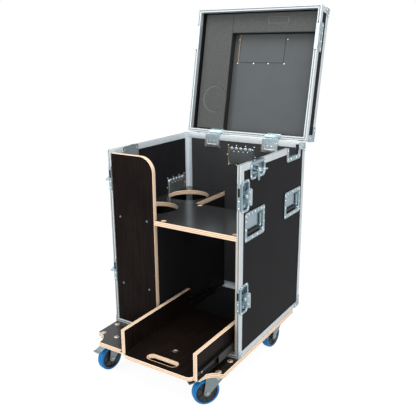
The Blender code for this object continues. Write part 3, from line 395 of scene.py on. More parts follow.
class Wire:
    """An output of a finish's nodes, with the arithmetic that the finishes use."""

    def __init__(self, tree, socket):
        self.tree = tree
        self.socket = socket

    __add__ = __radd__ = arithmetic("ADD")
    __sub__ = arithmetic("SUBTRACT")
    __rsub__ = arithmetic("SUBTRACT", swapped=True)
    __mul__ = __rmul__ = arithmetic("MULTIPLY")
    __pow__ = arithmetic("POWER")
    __mod__ = arithmetic("FLOORED_MODULO")
    __abs__ = arithmetic("ABSOLUTE")


class Finish:
    """The nodes of one surface, around a Principled shader."""

    def __init__(self, name, **constants):
        self.material = bpy.data.materials.new(name)
        self.material.use_nodes = True
        self.tree = self.material.node_tree
        self.shader = self.tree.nodes["Principled BSDF"]
        self.place = self.vector("SCALE", self.node("TexCoord", output="Object"), Scale=1 / MM)
        self.feed(**constants)
        FINISHES[name] = self.material

    def node(self, kind, settings=(), inputs=(), output=0):
        """Any node: its type, its settings, the values or wires of its sockets, and the output used."""
        node = self.tree.nodes.new("ShaderNode" + kind)
        for key, value in dict(settings).items():
            setattr(node, key, value)
        for key, value in dict(inputs).items():
            plug(self.tree, value, node.inputs[key])
        return Wire(self.tree, node.outputs[output])

    def vector(self, operation, first, second=None, **inputs):
        entries = {0: first, **inputs}
        if second is not None:
            entries[1] = second
        return self.node("VectorMath", {"operation": operation}, entries)

    def axis(self, name):
        return self.node("SeparateXYZ", (), {0: self.place}, name)

    def noise(self, size, detail=2.0, rough=0.5, stretch=(1, 1, 1), twist=0.0):
        """Noise from 0 to 1 whose blots have a size in millimetres, longer along stretched axes."""
        place = self.vector("MULTIPLY", self.place, [1 / share for share in stretch])
        return self.node("TexNoise", (), {"Vector": place, "Scale": 1 / size, "Detail": detail,
                                          "Roughness": rough, "Distortion": twist})

    def cells(self, size):
        return self.node("TexVoronoi", (), {"Vector": self.place, "Scale": 1 / size, "Randomness": 1.0})

    def between(self, value, low, high):
        """Rises smoothly from 0 to 1 as a value goes from low to high."""
        return self.node("MapRange", {"interpolation_type": "SMOOTHSTEP"},
                         {"Value": value, "From Min": low, "From Max": high})

    def mix(self, share, first, second):
        """A colour between two colours."""
        colours = [value if isinstance(value, Wire) else (*value, 1) for value in (first, second)]
        return self.node("Mix", {"data_type": "RGBA"}, {"Factor": share, 6: colours[0], 7: colours[1]}, 2)

    def bump(self, *layers):
        """Adds heights in millimetres to the surface, one bump node for each."""
        normal = None
        for height, distance in layers:
            inputs = {"Height": height, "Distance": distance * MM, "Strength": 1.0}
            if normal:
                inputs["Normal"] = normal
            normal = self.node("Bump", (), inputs)
        plug(self.tree, normal, self.shader.inputs["Normal"])

    def feed(self, **sockets):
        for key, value in sockets.items():
            plug(self.tree, value, self.shader.inputs[key.replace("_", " ")])


FINISHES = {}


# Finishes

def shades(colour):
    """A metal's darker and lighter tone."""
    return [level * 0.84 for level in colour], [min(level * 1.18, 1.0) for level in colour]


def laminate(name, dark, light, shine, specular):
    """A hard film with a fine pebble and a few dull rubs."""
    finish = Finish(name, Specular_IOR_Level=specular)
    cloud = finish.noise(90, 3.0, 0.6)
    pebble = finish.cells(1.1)
    rub = finish.between(finish.noise(38, 5.0, 0.7, (1, 3, 1)), 0.58, 0.72)
    speck = finish.between(finish.noise(0.9, 1.0), 0.62, 0.8)
    tone = finish.mix(cloud * 0.7 + rub * 0.25 + speck * 0.2, dark, light)
    finish.feed(Base_Color=tone, Roughness=shine + cloud * 0.08 + rub * 0.1)
    finish.bump((pebble, 0.05), (finish.noise(14, 2.0), 0.05))


def phenolic(name, dark, light, shine, specular, stretch):
    """A smooth brown film that shows the veneer's streaks under it."""
    finish = Finish(name, Specular_IOR_Level=specular)
    streak = finish.noise(7, 4.0, 0.6, stretch, 0.4)
    cloud = finish.noise(120, 2.0)
    tone = finish.mix(finish.between(streak * 0.7 + cloud * 0.3, 0.32, 0.68), dark, light)
    finish.feed(Base_Color=tone, Roughness=shine + streak * 0.12)
    finish.bump((streak, 0.04), (finish.noise(1.0, 2.0), 0.02))


def birch(name, layer, middle):
    """The cut edge of plywood: light and darker plies in turn, thin glue lines and open grain."""
    finish = Finish(name, Roughness=0.55)
    depth = finish.axis("Z") - middle + finish.noise(22, 2.0, 0.5, (4, 4, 1)) * 0.12 - 0.06
    ply = abs(depth) % (2 * layer)
    dark_ply = (finish.between(ply, layer * 0.42, layer * 0.58)
                * (1 - finish.between(ply, layer * 1.42, layer * 1.58)))
    glue = finish.between(abs(abs(ply - layer) - layer / 2), layer * 0.1, 0)
    grain = finish.noise(0.9, 3.0, 0.6, (5, 5, 1))
    fleck = finish.between(finish.noise(2.2, 3.0, 0.7, (1, 1, 0.4)), 0.6, 0.75)
    light = finish.mix(grain, (0.76, 0.56, 0.4), (0.92, 0.76, 0.58))
    tone = finish.mix(dark_ply * 0.8, light, (0.47, 0.29, 0.17))
    tone = finish.mix(glue * 0.4 + fleck * 0.16, tone, (0.22, 0.12, 0.065))
    finish.feed(Base_Color=tone)
    finish.bump((grain - glue, 0.06))


def aluminium(name, colour, shine):
    """Drawn aluminium: satin, with faint draw lines, dull blots and fine scratches."""
    finish = Finish(name, Metallic=0.62)
    blot = finish.noise(30, 4.0, 0.65)
    fine = finish.noise(1.2, 2.0)
    scratch = finish.between(finish.noise(5, 3.0, 0.7, (9, 1, 1), 0.6), 0.63, 0.7)
    tone = finish.mix(blot * 0.6 + fine * 0.2 + scratch * 0.3, *shades(colour))
    finish.feed(Base_Color=tone, Roughness=shine + blot * 0.12 + fine * 0.04)
    finish.bump((fine, 0.01), (finish.noise(9, 2.0), 0.04))


def zinc(name, colour, shine, metallic=1.0):
    """Bright zinc plate with a blue cast, faintly clouded and slightly uneven."""
    finish = Finish(name, Metallic=metallic)
    cloud = finish.noise(26, 3.0, 0.55)
    fine = finish.noise(1.4, 2.0)
    rub = finish.between(finish.noise(6, 4.0, 0.7), 0.6, 0.75)
    tone = finish.mix(cloud * 0.8 + rub * 0.2, *shades(colour))
    finish.feed(Base_Color=tone, Roughness=shine + cloud * 0.08 + fine * 0.03 + rub * 0.06)
    finish.bump((finish.noise(18, 2.0), 0.12), (fine, 0.006))


def paint(name, dark, light, shine, metallic=0.0, specular=0.5, pebble=0.03, size=1.6):
    """A plain coating or moulding with small tone changes and a fine skin."""
    finish = Finish(name, Metallic=metallic, Specular_IOR_Level=specular)
    cloud = finish.noise(24, 3.0, 0.6)
    skin = finish.noise(size, 3.0, 0.6)
    finish.feed(Base_Color=finish.mix(cloud * 0.6 + skin * 0.4, dark, light),
                Roughness=shine + cloud * 0.04)
    if pebble:
        finish.bump((skin, pebble))


# The ring pressed into the long strip of foam: its middle from the strip's left and far ends, its radius
FOAM_RING = (76.0, 132.0, 56.0)
# The box pressed into the short strip: its middle from the strip's middle and near end, its half sizes
FOAM_BOX = (16.0, 32.0, 45.0, 12.0)
FOAM_SPLIT = 133
FOAM_PROUD = 10.0
FOAM_TO_WALL = 6.0
FOAM_STEP = 2.2


def pressed_places():
    """The ring's middle and radius, and the box's middle and half sizes."""
    span = LID.span("lid_foam")
    across, ahead, wide, high = FOAM_BOX
    middle = (span.low.x + FOAM_SPLIT + span.high.x) / 2 + across
    return ((span.low.x + FOAM_RING[0], span.high.y - FOAM_RING[1], FOAM_RING[2]),
            (middle, span.low.y + ahead, wide, high))


def foam_dent_highlights(finish):
    """Painted highlights along the pressed dents: a ring on the long strip, strongest on its left, and a box on
    the short one.
    """
    (ring_x, ring_y, ring_radius), (box_x, box_y, wide, high) = pressed_places()
    x, y = finish.axis("X"), finish.axis("Y")
    away = ((x - ring_x) * (x - ring_x) + (y - ring_y) * (y - ring_y)) ** 0.5
    ring = finish.between(abs(away - ring_radius), 3.2, 1.0) * finish.between(x, ring_x + 30, ring_x - 30)
    beside, above = abs(x - box_x) - wide, abs(y - box_y) - high
    sides = finish.between(abs(beside), 2.6, 0.8) * finish.between(above, 1.5, 0)
    ends = finish.between(abs(above), 2.2, 0.8) * finish.between(beside, 1.5, 0) * 0.5
    return ring + sides + ends


def foam(name):
    """Open-cell foam: small pores with pale walls."""
    finish = Finish(name, Roughness=0.95, Specular_IOR_Level=0.1)
    pore = finish.cells(1.7)
    small = finish.cells(0.8)
    clump = finish.between(finish.noise(4.5, 3.0, 0.7), 0.34, 0.66)
    depth = finish.between(pore, 0.1, 0.6) * 0.35 + small * 0.25 + clump * 0.4
    tone = finish.mix(depth, (0.034, 0.036, 0.035), (0.102, 0.107, 0.103))
    # Pale lines along the dents are mixed in: painted highlight.
    finish.feed(Base_Color=finish.mix(foam_dent_highlights(finish) * 0.5, tone, (0.17, 0.175, 0.17)))
    finish.bump((depth, 0.5))


def rubber(name, colour):
    """The blue tyre: moulded, slightly dusty on its tread."""
    finish = Finish(name, Specular_IOR_Level=0.2)
    dust = finish.between(finish.noise(11, 4.0, 0.7), 0.45, 0.8)
    tone = finish.mix(dust * 0.3, colour, [level * 0.8 + 0.03 for level in colour])
    finish.feed(Base_Color=tone, Roughness=0.42 + dust * 0.25)
    finish.bump((finish.noise(1.0, 2.0), 0.03))


def make_finishes():
    laminate("black_laminate", (0.008, 0.008, 0.009), (0.018, 0.018, 0.02), 0.46, 0.025)
    # A lighter copy of the black laminate: painted light on the rear board.
    laminate("rear_painted_light_laminate", (0.032, 0.033, 0.035), (0.05, 0.051, 0.054), 0.46, 0.1)
    # A lighter grey copy of the black laminate: painted light on the lid's inner face, which faces the lamps.
    laminate("lid_painted_light_laminate", (0.06, 0.067, 0.07), (0.084, 0.093, 0.096), 0.46, 0.2)
    paint("shelf_laminate", (0.014, 0.014, 0.015), (0.021, 0.021, 0.022), 0.2, 0.0, 0.5, 0.0, 9)
    phenolic("brown_film", (0.0045, 0.003, 0.0026), (0.011, 0.0075, 0.0064), 0.36, 0.03, (1, 14, 1))
    phenolic("deck_film", (0.006, 0.0055, 0.0045), (0.014, 0.012, 0.0095), 0.2, 0.5, (14, 1, 1))
    birch("birch_thin", 3.2, PLY / 2)
    birch("birch_thick", 3.3, 9)
    birch("birch_tray", 3.0, 7.5)
    aluminium("aluminium", (0.5, 0.54, 0.56), 0.4)
    # A lighter copy of the aluminium: painted highlight on the top rims' inner faces and the inner rear angles.
    aluminium("painted_highlight_aluminium", (0.7, 0.76, 0.79), 0.4)
    # A darker copy of the aluminium: painted shade in the edge channels' grooves.
    aluminium("painted_shade_groove", (0.2, 0.22, 0.225), 0.45)
    zinc("zinc_steel", (0.3, 0.38, 0.42), 0.22)
    zinc("fork_steel", (0.2, 0.235, 0.245), 0.3)
    zinc("pale_zinc", (0.42, 0.5, 0.54), 0.26, 0.7)
    # A darker copy of the zinc: painted shade on the handle tubs' floors.
    zinc("painted_shade_zinc", (0.13, 0.155, 0.15), 0.3, 0.6)
    # A lighter copy of the zinc: painted highlight on rivet domes, screw heads and other small bright parts.
    zinc("rivet", (0.75, 0.82, 0.84), 0.28)
    paint("black_steel", (0.003, 0.003, 0.0035), (0.008, 0.008, 0.009), 0.36, 0.0, 0.25)
    paint("black_grip", (0.006, 0.006, 0.0065), (0.013, 0.013, 0.014), 0.5, 0.0, 0.35, 0.12, 1.2)
    paint("black_hub", (0.006, 0.006, 0.007), (0.013, 0.013, 0.014), 0.4, 0.0, 0.4)
    # Near black: painted shade in screw recesses, behind slots, near plate ends and along edges.
    paint("painted_shade_recess", (0.002, 0.002, 0.002), (0.005, 0.005, 0.005), 0.7, 0.0, 0.2)
    foam("grey_foam")
    # A darker copy of the foam for the pads' sides: painted shade in the gaps beside them.
    paint("foam_side", (0.014, 0.013, 0.0125), (0.026, 0.025, 0.024), 0.95, 0.0, 0.05, 0.5)
    rubber("blue_tyre", (0.0, 0.16, 0.42))


# Camera, stage and light

# The camera's focal length is in the photograph's pixels, its turns in degrees
PHOTO_SIDE = 416
FOCAL = 561.13
YAW, PITCH, ROLL = 32.22, 16.11, -0.28
EYE = (1.1395, -1.7984, 1.2232)
SENSOR = 36


def place_camera():
    camera = bpy.data.cameras.new("camera")
    camera.sensor_width = SENSOR
    camera.lens = SENSOR * FOCAL / PHOTO_SIDE
    yaw, pitch, roll = math.radians(YAW), math.radians(PITCH), math.radians(ROLL)
    ahead = Vector((-math.sin(yaw) * math.cos(pitch), math.cos(yaw) * math.cos(pitch), -math.sin(pitch)))
    side = Vector((math.cos(yaw), math.sin(yaw), 0))
    across = side * math.cos(roll) + side.cross(ahead) * math.sin(roll)
    holder = add("camera", camera)
    holder.matrix_world = Matrix.Translation(EYE) @ Matrix(
        (across, across.cross(ahead), -ahead)).transposed().to_4x4()
    bpy.context.scene.camera = holder


def seen_directly(tree):
    """One for camera, glossy and transmission rays, which show the white background."""
    path = tree.nodes.new("ShaderNodeLightPath")
    seen = [Wire(tree, path.outputs[name]) for name in
            ("Is Camera Ray", "Is Glossy Ray", "Is Transmission Ray")]
    return calculate(tree, "MINIMUM", seen[0] + seen[1] + seen[2], 1.0)


FLOOR_GLOW = 1.14
FLOOR_SHARE = 0.8


def lay_floor():
    """A pale floor that stays near white to the eye and keeps a soft shadow."""
    mesh = bpy.data.meshes.new("floor")
    bm = bmesh.new()
    bmesh.ops.create_circle(bm, cap_ends=True, radius=14, segments=96)
    bm.to_mesh(mesh)
    bm.free()
    floor = add("floor", mesh)
    material = bpy.data.materials.new("pale_floor")
    material.use_nodes = True
    tree = material.node_tree
    shader = tree.nodes["Principled BSDF"]
    shader.inputs["Base Color"].default_value = (0.86, 0.86, 0.86, 1)
    shader.inputs["Roughness"].default_value = 0.9
    glow = tree.nodes.new("ShaderNodeEmission")
    glow.inputs["Strength"].default_value = FLOOR_GLOW
    mix = tree.nodes.new("ShaderNodeMixShader")
    plug(tree, seen_directly(tree) * FLOOR_SHARE, mix.inputs[0])
    tree.links.new(shader.outputs[0], mix.inputs[1])
    tree.links.new(glow.outputs[0], mix.inputs[2])
    tree.links.new(mix.outputs[0], tree.nodes["Material Output"].inputs[0])
    mesh.materials.append(material)


def light_world():
    """White where it is seen, and a weak fill elsewhere."""
    world = bpy.data.worlds.new("studio")
    bpy.context.scene.world = world
    world.use_nodes = True
    tree = world.node_tree
    ground = tree.nodes["Background"]
    fill = 0.5
    plug(tree, seen_directly(tree) * (1 - fill) + fill, ground.inputs["Strength"])
    ground.inputs["Color"].default_value = (1, 1, 1, 1)


def soft_box(name, place, towards, size, watts):
    light = bpy.data.lights.new(name, "AREA")
    light.shape = "RECTANGLE"
    light.size, light.size_y = size
    light.energy = watts
    aim = (Vector(towards) - Vector(place)).to_track_quat("-Z", "Y")
    add(name, light).matrix_world = Matrix.Translation(place) @ aim.to_matrix().to_4x4()


def light_stage():
    light_world()
    soft_box("overhead", (0.3, -0.4, 2.7), (0, 0, 0.6), (2.2, 1.8), 54)
    soft_box("front_left", (-1.9, -2.6, 1.6), (0, 0, 0.8), (1.7, 2.0), 42)
    soft_box("front_right", (2.1, -2.5, 1.3), (0, 0, 0.6), (1.3, 1.6), 34)
    soft_box("right_high", (2.5, -0.3, 1.9), (0.1, 0, 0.7), (1.4, 1.4), 20)

# Body boards

SIDES = ((-1, "left"), (1, "right"))
ENDS = ((0, BACK), (DEPTH, FRONT))
HANDLES = {"left_front": LEFT, "left_rear": LEFT, "right_front": RIGHT, "right_rear": RIGHT, "back": BACK}
LATCHES = ("left_low", "left_high", "left_top", "right_low", "right_high", "right_top")
HINGES = ("left", "right")
# Each pressed part's tub with its depth, and the flange around it
HANDLE_TUB, HANDLE_FLANGE = (122, 72, 15), (148, 104)
LATCH_TUB, LATCH_FLANGE = (92, 42, 14), (112, 60)
HINGE_TUB, HINGE_FLANGE = (74, 38, 18), (92, 50)
HINGE_DOWN = 29
TUB_ROOM = 5
TUB_CORNER = 9
NOTCH_ROOM = 3
INWARD = turned(180, "X")


def notch_cut():
    """The cable notch's near and far ends and its floor, a little outside its stated opening."""
    notch = CASE.opening("cable_notch")
    return notch.low.y - NOTCH_ROOM, notch.high.y + NOTCH_ROOM, notch.low.z - NOTCH_ROOM


def tub_hole(tub, across, up):
    return rounded_rectangle(tub[0] + TUB_ROOM, tub[1] + TUB_ROOM, TUB_CORNER, (across, up))


def hinge_holes(home, part, z, room):
    """The openings for the hinges' tubs, with more room at the left and below."""
    wide, high, _ = HINGE_TUB
    middles = [home.span("hinge_" + part + "_" + tag).mid.x for tag in HINGES]
    return [rectangle(x - wide / 2 - room, z - high / 2 - room, x + wide / 2 + 1, z + high / 2 + 1)
            for x in middles]


def side_wall_holes(side):
    holes = []
    for name, out in HANDLES.items():
        if out.x == side:
            mid = CASE.span("handle_dish_" + name).mid
            holes.append(tub_hole(HANDLE_TUB, mid.y, mid.z))
    for name in LATCHES:
        if name.startswith("left") == (side < 0):
            span = CASE.span("latch_pan_" + name)
            tub = LATCH_TUB[1::-1] if span.size.z > span.size.y else LATCH_TUB
            holes.append(tub_hole(tub, span.mid.y, span.mid.z))
    return holes


def build_side_walls():
    near, far, low = notch_cut()
    near, far, low = near - SKIN, far + SKIN, low - SKIN
    front, back, top = SKIN, DEPTH - SKIN, HEIGHT - SKIN
    for side, tag in SIDES:
        notch = [(far, top), (far, low), (near, low), (near, top)] if side > 0 else []
        outline = [(front, SKIN), (back, SKIN), (back, top)] + notch + [(front, top)]
        at = on_right(PANEL_IN if side > 0 else -PANEL_IN - PLY)
        board(tag + "_side_board", CASE, at, [outline] + side_wall_holes(side), PLY, tag + "_side_panel")
    shelf = CASE.span("shelf_board")
    inner, outer = CASE.span("slide_case_right").high.x + SEAT, FLANGE_IN - SEAT
    lining = rectangle(shelf.low.y, CAP + SEAT, DEPTH - CAP - FLANGE, shelf.low.z - SEAT)
    board("right_lining", CASE, on_right(inner), [lining], outer - inner)


def build_rear_and_floor():
    rear, ground = CASE.span("rear_panel"), CASE.span("floor_panel")
    handle = CASE.span("handle_dish_back").mid
    holes = [tub_hole(HANDLE_TUB, handle.x, handle.z)]
    holes += hinge_holes(CASE, "case", HEIGHT - HINGE_DOWN, 5)
    # The rear board is in the lighter laminate, painted light.
    board("rear_board", CASE, on_front(rear.high.y), [rear.face(0, 2)] + holes, PLY, "rear_panel",
          "rear_painted_light_laminate")
    board("floor_board", CASE, moved(0, 0, ground.low.z), [ground.face(0, 1)], ground.size.z, "floor_panel")


FASCIA_CORNER = 58
FASCIA_SCREWS_IN = 32
FASCIA_SCREWS_Z = (178, 452)


def build_front_boards():
    fascia, divider = CASE.span("fascia_board"), CASE.span("divider_panel")
    low, high = fascia.low, fascia.high
    corner = arc((high.x - FASCIA_CORNER, high.z - FASCIA_CORNER), FASCIA_CORNER, 0, 90, 16)
    outline = [(low.x, low.z), (high.x, low.z)] + corner + [(low.x, high.z)]
    board("fascia_cover", CASE, on_front(high.y), [outline], fascia.size.y, "fascia_board", "brown_film",
          "brown_ply", "birch_thick", 0.5)
    screws = Shape()
    for x, z in grid((low.x + FASCIA_SCREWS_IN, high.x - FASCIA_SCREWS_IN), FASCIA_SCREWS_Z):
        screw(screws, facing((x, low.y, z), FRONT), 3.8, "zinc_steel")
    screws.piece("fascia_screws", CASE, "zinc_steel")
    board("divider_board", CASE, on_right(divider.low.x), [divider.face(1, 2)], divider.size.x,
          "divider_panel")


SHELF_HOLE = 86
# A pocket's radius and depth, and its middle's distance from the shelf's edges
SHELF_POCKET = (10, 9, 16)


def build_shelf():
    shelf = CASE.span("shelf_board")
    low, high, thick = shelf.low, shelf.high, shelf.size.z
    divider = CASE.span("divider_panel").high.x
    reach = CASE.opening("shelf_rear_gap").low.y - 5
    front = CASE.span("fascia_board").high.y + SEAT
    outline = [(low.x, front), (divider + SEAT, front), (divider + SEAT, low.y), (high.x, low.y),
               (high.x, reach), (divider, reach), (divider, high.y), (low.x, high.y)]
    holes = [CASE.opening("shelf_hole_" + tag).mid for tag in ("front", "back")]
    loops = [outline] + [circle((mid.x, mid.y), SHELF_HOLE, 72) for mid in holes]
    radius, deep, edge = SHELF_POCKET
    pockets = [(divider + 2 * edge, low.y + edge), (divider + 2 * edge, reach - edge),
               (high.x - edge, low.y + edge)]
    cuts = [circle(place, radius, 28) for place in pockets]
    upper, lower, bottoms = Shape(), Shape(), Shape()
    upper.plate(loops + cuts, deep, "shelf_laminate", "birch_thick", moved(0, 0, thick - deep), 0.25)
    lower.plate(loops, thick - deep, "shelf_laminate", "birch_thick", round=0.2)
    for x, y in pockets:
        bottoms.lathe([(radius - 0.2, 0), (radius - 0.2, 0.6)], "birch_thick", moved(x, y, thick - deep), 28)
    at = moved(0, 0, low.z)
    upper.piece("shelf_upper_plies", CASE, "shelf_board", at, ["shelf_board"])
    lower.piece("shelf_lower_plies", CASE, "shelf_board", at)
    bottoms.piece("shelf_pocket_floors", CASE, "shelf_board", at)


# Tray and slides

def round_slot(x, y, reach, radius):
    return arc((x + reach, y), radius, -90, 90, 12) + arc((x - reach, y), radius, 90, 270, 12)


def build_tray():
    floor = TRAY.span("tray_floor")
    low, high, thick = floor.low, floor.high, floor.size.z
    corner, end, reach, worn = 20, 17, 45, 2.4
    x, y = floor.mid.x, TRAY.opening("tray_hand_slot").mid.y
    left = [(low.x, high.y)] + arc((low.x + corner, low.y + corner), corner, 180, 270, 8)
    hole = x, TRAY.opening("tray_hole").mid.y
    slot, worn_slot = round_slot(x, y, reach, end), round_slot(x, y, reach, end + worn)
    shape = Shape()
    shape.plate([left + mirrored(left, x), slot, circle(hole, 10, 28)], thick, "brown_film", "birch_tray",
                round=1.6, steps=2)
    shape.plate([worn_slot, slot], 0.35, "birch_tray", at=moved(0, 0, thick - 0.1), round=0.1)
    shape.plate([circle(hole, 12.4, 28), circle(hole, 6, 20)], 3, "brown_film", "birch_tray",
                moved(0, 0, thick - 2.9), 0.8)
    shape.piece("tray_bottom_board", TRAY, "brown_ply", moved(0, 0, low.z), ["tray_floor"])
    for _, tag in SIDES:
        side = TRAY.span("tray_wall_" + tag)
        board("tray_" + tag + "_board", TRAY, on_right(side.low.x), [side.face(1, 2)], side.size.x,
              "tray_wall_" + tag, "brown_film", "brown_ply", "birch_tray", 0.5)


def build_slides():
    """Rolled C channels that open to one side, with rounded lips."""
    for tag, (part, home) in grid(("left", "right"), (("case", CASE), ("middle", SLIDES), ("tray", TRAY))):
        node = "slide_" + part + "_" + tag
        span = home.span(node)
        low, high = span.low, span.high
        opens = 1 if (tag == "left") != (part == "tray") else -1
        web, far = (low.x, high.x) if opens > 0 else (high.x, low.x)
        inner = web + opens * SLIDE_SHEET
        half = [(web, 1), (web + opens, 0), (far, 0), (far, SLIDE_SHEET), (inner + opens, SLIDE_SHEET),
                (inner, SLIDE_SHEET + 1)]
        points = [(x, low.z + up) for x, up in half] + [(x, high.z - up) for x, up in reversed(half)]
        shape = Shape()
        shape.loft([[(x, y, z) for x, z in points] for y in (low.y, high.y)], "black_steel")
        if part != "middle":
            for y in (low.y + 25, low.y + 170, high.y - 60):
                screw(shape, facing((inner, y, span.mid.z), (opens, 0, 0)), 3.6)
        shape.piece("rolled_" + node, home, "black_steel", STILL, [node])


# Small fixings

def rivet(shape, at, radius=3.6, high=1.5, finish="rivet"):
    """A domed rivet head."""
    profile = [(radius, 0), (radius, 0.25)]
    for turn in (25, 45, 65, 82):
        angle = math.radians(turn)
        profile.append((radius * math.cos(angle) ** 0.8, 0.25 + (high - 0.25) * math.sin(angle)))
    shape.lathe(profile, finish, at, 14)

def rivets(shape, places, height, radius, high=1.5, at=STILL, turn=STILL):
    """Rivet heads at places of a face."""
    for x, y in places:
        rivet(shape, at @ moved(x, y, height) @ turn, radius, high)


def screw(shape, at, radius=4.4, finish="rivet"):
    """A countersunk cross-head screw."""
    arm, thick = radius * 0.62, radius * 0.17
    half = [(-thick, -arm), (thick, -arm), (thick, -thick), (arm, -thick), (arm, thick), (thick, thick)]
    cross = half + [(-x, -y) for x, y in half]
    # The head's edges and the cross's floor are near black: painted shade.
    shape.plate([circle((0, 0), radius, 20), cross], 0.8, finish, "painted_shade_recess", at, 0.15)
    shape.lathe([(arm * 1.05, 0.02), (arm * 1.05, 0.3)], "painted_shade_recess", at, 12)


# Aluminium edges

GROOVE = 2.1
GROOVE_DEEP = 1.3


def closure_section():
    """The edge channel: a grooved cap over the panel's edge and a leg on each side of it."""
    soft, mid, leg, cap = 1.3, CAP / 2, SHEET - 0.4, 2.6
    half = [(CAP - leg, cap), (CAP - leg, FLANGE), (CAP, FLANGE), (CAP, soft)]
    half += [(CAP - soft + x, soft - y) for x, y in arc((0, 0), soft, 0, 90, 4)][1:]
    half += [(mid + GROOVE + 0.5, 0), (mid + GROOVE, 0.4), (mid + GROOVE - 0.3, GROOVE_DEEP)]
    return half + mirrored(half, mid)


def channel(shape, place, along, stops, across, up, cuts=(None, None)):
    """The edge channel between pairs of stops, mitred at both outer ends, with painted shade in its groove."""
    section, made = closure_section(), []
    for start, end in zip(stops[::2], stops[1::2]):
        faces = shape.run(section, Vector(place) + along * start, Vector(place) + along * end, across, up,
                          "aluminium", cuts[0] if start == stops[0] else None,
                          cuts[1] if end == stops[-1] else None)
        for face, near, far in zip(faces, section, section[1:]):
            # The groove's faces get the darker aluminium: painted shade.
            aside = max(abs(near[0] - CAP / 2), abs(far[0] - CAP / 2))
            if aside < GROOVE + 0.1 and near[1] < 2 * GROOVE_DEEP:
                shape.paint([face], "painted_shade_groove")
        made += faces
    return made


def angle_section(soft=2.2):
    """An L with a round heel: its legs run along the two axes from the heel."""
    heel = [(soft - x, soft - y) for x, y in arc((0, 0), soft, 90, 0, 5)]
    return heel + [(0, FLANGE - 0.5), (0.5, FLANGE), (SHEET, FLANGE), (SHEET, SHEET), (FLANGE, SHEET),
                   (FLANGE, 0.5), (FLANGE - 0.5, 0)]


def cut_cover(shape, place, along):
    """A latch pan's front over the cut in an edge profile, with the slot that its hook comes through."""
    thick, room = 1.2, 0.4
    wide, long = CAP - 2 * room, LATCH_TUB[0] - 2 * room
    slot = (0, 17)
    at = frame_at(place, RIGHT, along) @ moved(0, 0, -thick - 0.2)
    shape.plate([rounded_rectangle(wide, long, 2), rounded_rectangle(wide - 5, 30, 2, slot)], thick,
                "zinc_steel", at=at, round=0.3)
    # A near-black sheet behind the slot: painted shade.
    shape.plate([rounded_rectangle(wide - 3, 32, 2, slot)], 0.3, "painted_shade_recess", at=at @ moved(0, 0, -0.35),
                round=0.05)
    rivets(shape, [(0, -36), (0, -12)], thick, 2.6, 1.0, at)


def latch_cut(name, axis):
    """Where a latch cuts its edge profile, from one end to the other."""
    middle = CASE.span("latch_pan_" + name).mid[axis]
    return [middle - LATCH_TUB[0] / 2, middle + LATCH_TUB[0] / 2]


def build_posts():
    for side, tag in SIDES:
        shape = Shape()
        stops = [0.0, *latch_cut(tag + "_low", 2), *latch_cut(tag + "_high", 2), HEIGHT]
        channel(shape, (side * FLANGE_IN, 0, 0), UP, stops, RIGHT * side, BACK, (None, (0, 1, 1)))
        shape.piece(tag + "_closure_post", CASE, "aluminium", STILL, [tag + "_front_post"])
    covers = Shape()
    for name in LATCHES:
        x = (CAP / 2 - HALF) if name.startswith("left") else (HALF - CAP / 2)
        middle = CASE.span("latch_pan_" + name).mid
        if name.endswith("top"):
            cut_cover(covers, (x, middle.y, HEIGHT), BACK)
        else:
            cut_cover(covers, (x, 0, middle.z), UP)
    covers.piece("latch_front_covers", CASE, "zinc_steel")


def rear_rim(shape, home, part, z, up):
    """A rear rim beside and between the two hinges of the body or the lid."""
    stops = [-FLANGE_IN]
    for tag in HINGES:
        mid = home.span("hinge_" + part + "_" + tag).mid.x
        stops += [mid - HINGE_TUB[0] / 2, mid + HINGE_TUB[0] / 2]
    stops.append(FLANGE_IN)
    channel(shape, (0, DEPTH - CAP, z), RIGHT, stops, BACK, up, ((1, 1, 0), (-1, 1, 0)))


def build_rims():
    """The body's top rim on three sides, its base and rear angles and the front sill."""
    shape = Shape()
    for side, tag in SIDES:
        notch = notch_cut()[:2] if side > 0 else ()
        faces = channel(shape, (side * FLANGE_IN, 0, HEIGHT), BACK,
                        [0.0, *latch_cut(tag + "_top", 1), *notch, DEPTH - CAP], RIGHT * side, DOWN,
                        ((0, 1, 1), (-side, 1, 0)))
        # The rims' inner faces get the lighter aluminium, a painted highlight.
        shape.paint([face for face in faces if face.normal.x * side < -0.95], "painted_highlight_aluminium")
    rear_rim(shape, CASE, "case", HEIGHT, DOWN)
    channel(shape, (0, 0, CAP), RIGHT, (-FLANGE_IN, FLANGE_IN), DOWN, BACK)
    shape.piece("top_rims_and_sill", CASE, "aluminium", STILL, ["edge_frame"])
    angles, legs, inner_legs = Shape(), angle_section(), angle_section(1)
    clear, rear, low = FLANGE + 0.1, DEPTH - CAP + SHEET, 12
    for side in (-1, 1):
        x, inner, across = side * HALF, side * (FLANGE_IN + SHEET), LEFT * side
        angles.run(legs, (x, clear, 0), (x, DEPTH - clear, 0), across, UP, "aluminium")
        angles.run(legs, (x, DEPTH, clear), (x, DEPTH, HEIGHT - clear), across, FRONT, "aluminium")
        # The inner rear angles are in the lighter aluminium, a painted highlight.
        angles.run(inner_legs, (inner, rear, low + clear), (inner, rear, HEIGHT - clear), across, FRONT,
                   "painted_highlight_aluminium")
    angles.run(legs, (clear - HALF, DEPTH, 0), (HALF - clear, DEPTH, 0), FRONT, UP, "aluminium")
    # The inner angle along the floor is in the lighter aluminium too, a painted highlight.
    angles.run(inner_legs, (-FLANGE_IN, rear, low), (FLANGE_IN, rear, low), FRONT, UP, "painted_highlight_aluminium")
    angles.piece("case_edge_angles", CASE, "aluminium")


